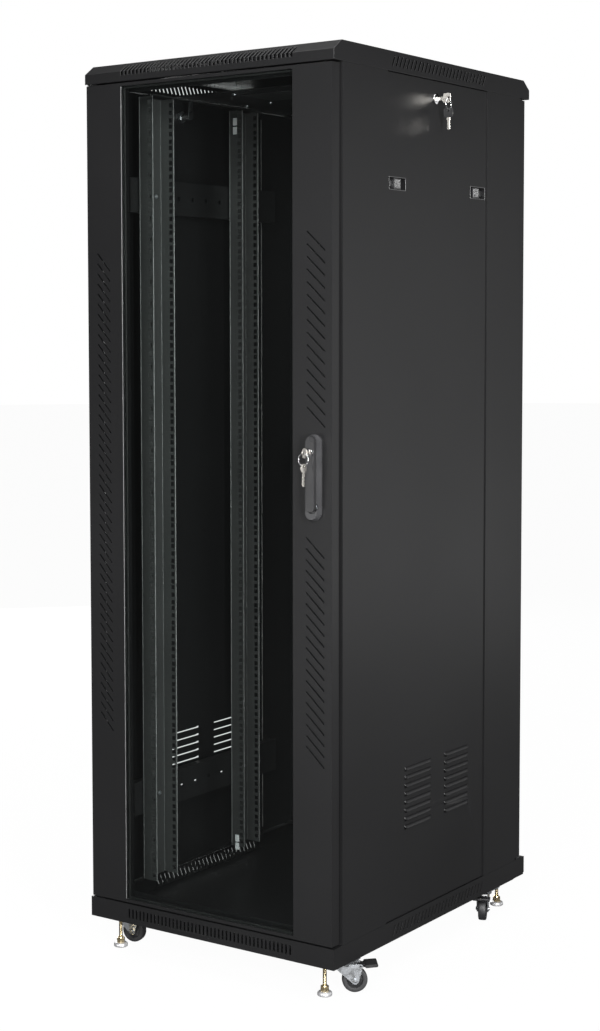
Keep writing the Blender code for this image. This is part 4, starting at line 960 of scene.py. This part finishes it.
def make_ceiling():
    """Screws and fan opening covers under the cover's closed underside, and its side bars."""
    _, bar = span("front_frame")
    height = bar.z + 0.0001

    def screws(grid):
        for side in SIDES.values():
            for x, y in CEILING_SCREWS:
                pan_head(grid, "-Z", at(side * x, y, height), 0.0050, 0.0042)
    piece("ceiling_screws", "cabinet", ZINC, screws, smooth=35)

    def covers(grid):
        for cx in FAN_X:
            for cy in FAN_DEPTHS:
                outline_plate(grid, round_corners(FAN_OPENING, FAN_OPENING, 0.010), 0.0012,
                              Matrix.Translation(at(cx, cy, height - 0.0007)))
    piece("fan_opening_covers", "cabinet", FRAME_PAINT, covers, bevel=0.0003)

    def bars(grid):
        for side in SIDES.values():
            side_block(grid, side, *TOP_BAR)
    piece("top_side_bars", "cabinet", RAIL_PAINT, bars, bevel=0.0006)


SCREEN_DEPTHS, SCREEN_HEIGHTS = (0.220, 0.604), (0.0725, 0.1045)
SCREEN_ROWS, ROW_START, ROW_PITCH, ROW_HEIGHT = 11, 0.0740, 0.0028, 0.0019
SCREEN_POSTS, POST_PITCH, POST_WIDTH = 25, 0.016, 0.0028
SCREEN_WIRE = 0.0006


def make_vent_screens():
    """A dark screen of thin rows and posts behind the slots in the base's sides."""
    face = HALF - 0.0034

    def screens(grid):
        for side in SIDES.values():
            for z in (ROW_START + ROW_PITCH * k for k in range(SCREEN_ROWS)):
                side_block(grid, side, (face - SCREEN_WIRE, face), SCREEN_DEPTHS,
                           (z, z + ROW_HEIGHT))
            for y in (SCREEN_DEPTHS[0] + POST_PITCH * k for k in range(SCREEN_POSTS)):
                side_block(grid, side, (face - 2 * SCREEN_WIRE, face - SCREEN_WIRE),
                           (y, y + POST_WIDTH), SCREEN_HEIGHTS)
    piece("base_vent_screens", "cabinet", BRACE_PAINT, screens)


ENTRY_DEPTH = 0.500               # the floor entry's middle
ENTRY_PLATES = ((0.360, 0.250, 0.012, 0.0014, 0.0008), (0.320, 0.210, 0.010, 0.0010, 0.0022))
ENTRY_SCREWS = (0.170, 0.115)


def make_floor_plate():
    """The cover plate over the cable entry in the base's floor, with its screws."""
    low, _ = span("base_frame")
    z = low.z + 0.0022

    def plate(grid):
        for width, length, corner, thickness, rise in ENTRY_PLATES:
            outline_plate(grid, round_corners(width, length, corner), thickness,
                          Matrix.Translation(at(0, ENTRY_DEPTH, z + rise)))
    piece("floor_entry_cover", "cabinet", FRAME_PAINT, plate, bevel=0.0004)

    def screws(grid):
        for dx in (-ENTRY_SCREWS[0], ENTRY_SCREWS[0]):
            for dy in (-ENTRY_SCREWS[1], ENTRY_SCREWS[1]):
                pan_head(grid, "Z", at(dx, ENTRY_DEPTH + dy, z + 0.0014), 0.0042, 0.0024)
    piece("floor_entry_screws", "cabinet", ZINC, screws, smooth=35)


FRAME_STEP = 0.0045               # from the door's back to the uprights' front face


def frame_depths(node):
    """Where the uprights of a frame start and end, its hinge ears left out."""
    low, high = span(node)
    if node == "front_frame":
        return span("front_door_frame")[1].y + FRAME_STEP, high.y
    return low.y, span("rear_door_panel")[0].y - FRAME_STEP


def bead(grid, x, y, z0, z1, radius):
    """A closed upright fold, drawn as a thin round bead."""
    lathe(grid, [(0.0, 0.0), (radius * 0.7, 0.0), (radius, 0.001), (radius, z1 - z0 - 0.001),
                 (radius * 0.7, z1 - z0), (0.0, z1 - z0)],
          Matrix.Translation(at(x, y, z0)), 16)


def corner_bead(grid, node, radius, front=None):
    """Beads in a node's front corners: both, or the outer one where it stands on one side."""
    low, high = span(node)
    y = (low.y if front is None else front) + radius
    both = low.x < 0 < high.x
    for x in (low.x, high.x) if both else (max(low.x, high.x, key=abs),):
        way = -1 if x > 0 else 1
        bead(grid, x + way * radius, y, low.z + 0.001, high.z - 0.001, radius)


def make_edge_highlights():
    """Beads along the closed folds of the uprights, the rails and the window, in a light colour that paints a
    highlight on the folds.

    The painted highlight beads of the door, frame and panels lie just under their rounded corners.
    """
    def uprights(grid):
        for node in ("front_frame", "rear_frame"):
            low, high = span(node)
            start, end = frame_depths(node)
            for side in SIDES.values():
                for y in (start + 0.0010, end - 0.0010):
                    bead(grid, side * 0.2808, y, low.z + 0.019, high.z - 0.019, 0.0012)
    piece("upright_hem_highlights", "cabinet", PAINTED_FOLD_HIGHLIGHT, uprights, smooth=60)

    def rails(grid):
        for row in ("front", "rear"):
            for side_name, side in SIDES.items():
                low, high = span(f"{row}_{side_name}_rail")
                inner, outer = sorted((abs(low.x), abs(high.x)))
                for y in (low.y + 0.0010, high.y - 0.0010):
                    bead(grid, side * (inner - 0.0004), y, low.z, high.z, 0.0010)
                for y in (low.y + 0.0012, high.y - 0.0012):
                    bead(grid, side * (outer - 0.0014), y, low.z, high.z, 0.0015)
    piece("rail_hem_highlights", "cabinet", PAINTED_FOLD_HIGHLIGHT, rails, smooth=60)

    def window(grid):
        low, high = span("front_door_glass")
        for side in SIDES.values():
            bead(grid, side * (abs(high.x) + 0.0016), 0.0012, low.z - 0.0005, high.z + 0.0005,
                 0.0012)
    piece("window_fold_highlights", "front_door", PAINTED_FOLD_HIGHLIGHT, window, smooth=60)

    piece("door_edge_painted_highlight", "front_door", PAINTED_BEND_HIGHLIGHT,
          lambda grid: corner_bead(grid, "front_door_frame", 0.00115), smooth=60)
    piece("frame_edge_painted_highlight", "cabinet", PAINTED_FOLD_HIGHLIGHT,
          lambda grid: corner_bead(grid, "front_frame", 0.0010, frame_depths("front_frame")[0]),
          smooth=60)
    for side_name in SIDES:
        piece(f"{side_name}_panel_edge_painted_highlight", f"{side_name}_panel", PAINTED_FOLD_HIGHLIGHT,
              lambda grid, node=f"{side_name}_side_panel": corner_bead(grid, node, 0.0008),
              smooth=60)


def make_lever_highlight():
    """Beads along the lever's front edges, just under its rounded corners, in a light colour that paints a
    highlight.
    """
    low, high = span("front_handle_lever")

    def edges(grid):
        for x in (low.x + 0.0012, high.x - 0.0012):
            bead(grid, x, low.y + 0.0012, low.z + 0.011, high.z - 0.011, 0.0009)
    piece("lever_edge_painted_highlight", "front_handle", PAINTED_BEND_HIGHLIGHT, edges, smooth=60)


# ---- cover cable entry
BRISTLES = 130
BRISTLE_SHAPE = ((-0.0009, 0), (0.0, -0.0014), (0.0009, 0))      # a tuft's section
BRISTLE_DROOP = 0.0006


def make_brush():
    """Two rows of bristles that meet along the middle of the cover's cable entry."""
    entry = next(each for each in frame["record"]["physics"]["openings"]
                 if each["name"] == "top_cable_entry")
    low, high = (Vector(corner) for corner in entry["box_m"])
    _, cover = world_box("top_cover")
    level, middle = cover.z - 0.0012, (low.y + high.y) / 2

    def bristles(grid):
        for k in range(BRISTLES):
            x = low.x + (high.x - low.x) * (k + 0.5) / BRISTLES
            sway = 0.0012 * math.sin(k * 2.3) + 0.0008 * math.sin(k * 5.1)
            for start, end in ((low.y - 0.0005, middle - 0.0006),
                               (high.y + 0.0005, middle + 0.0006)):
                near, tip = ([grid.verts.new((x + dx + aside, y, level + dz - drop))
                              for dx, dz in BRISTLE_SHAPE]
                             for y, aside, drop in ((start, 0.0, 0.0),
                                                    (end, sway, BRISTLE_DROOP)))
                for a in range(3):
                    b = (a + 1) % 3
                    grid.faces.new((near[a], near[b], tip[b], tip[a]))
                grid.faces.new(near)
                grid.faces.new(tip)
        bmesh.ops.recalc_face_normals(grid, faces=grid.faces[:])
    piece("cable_entry_brush", "cabinet", BLACK_PLASTIC, bristles)

    def holders(grid):
        for y0, y1 in ((low.y - 0.0027, low.y + 0.0035), (high.y - 0.0035, high.y + 0.0027)):
            block(grid, (low.x - 0.001, y0, cover.z - 0.0062),
                  (high.x + 0.001, y1, cover.z - 0.0030))
    piece("cable_entry_holders", "cabinet", ZINC, holders, bevel=0.0005)


# ---- run all
make_camera()
make_world()
make_floor()
for name, place, target, width, height, power in LAMPS:
    softbox(name, at(*place), at(*target), width, height, power)
finish_cad()
soften_edges()
for row in ("front", "rear"):
    for side_name in SIDES:
        make_rail(f"{row}_{side_name}_rail")
rail_fixings()
for name in SIDES:
    make_louvres(name)
for name in CASTORS:
    make_wheel(name)
    make_swivel(name)
    make_foot(name)
make_gasket()
make_ceiling()
make_floor_plate()
make_vent_screens()
make_edge_highlights()
make_lever_highlight()
make_brush()
for key in (("front_key", "front_lock", "Y", 1, "X", 2.2),
            ("front_spare_key", "front_keys", "Z", -1, "X", 2.2),
            ("right_key", "right_lock", "X", -1, "Y", 4.0),
            ("right_spare_key", "right_keys", "Z", -1, "Y", 3.0)):
    make_key(*key)
make_bow_cover("right_spare_key", "right_keys", "Z", -1, "Y")
make_ring("front_key_ring", "front_keys", "Y")
make_ring("right_key_ring", "right_keys", "X")
make_barrel("right_lock_barrel", "right_panel", "-X")
make_barrel("left_lock_barrel", "left_panel", "X")
make_barrel("rear_lock_barrel", "rear_door", "-Y")
make_barrel("front_lock_cylinder", "front_handle", "Y", 0.0078, 0.0060, depth=0.0052, nut=False)
for side_name in SIDES:
    for end_name in ("front", "rear"):
        make_latch(side_name, end_name)
bpy.context.scene.view_settings.view_transform = "Standard"
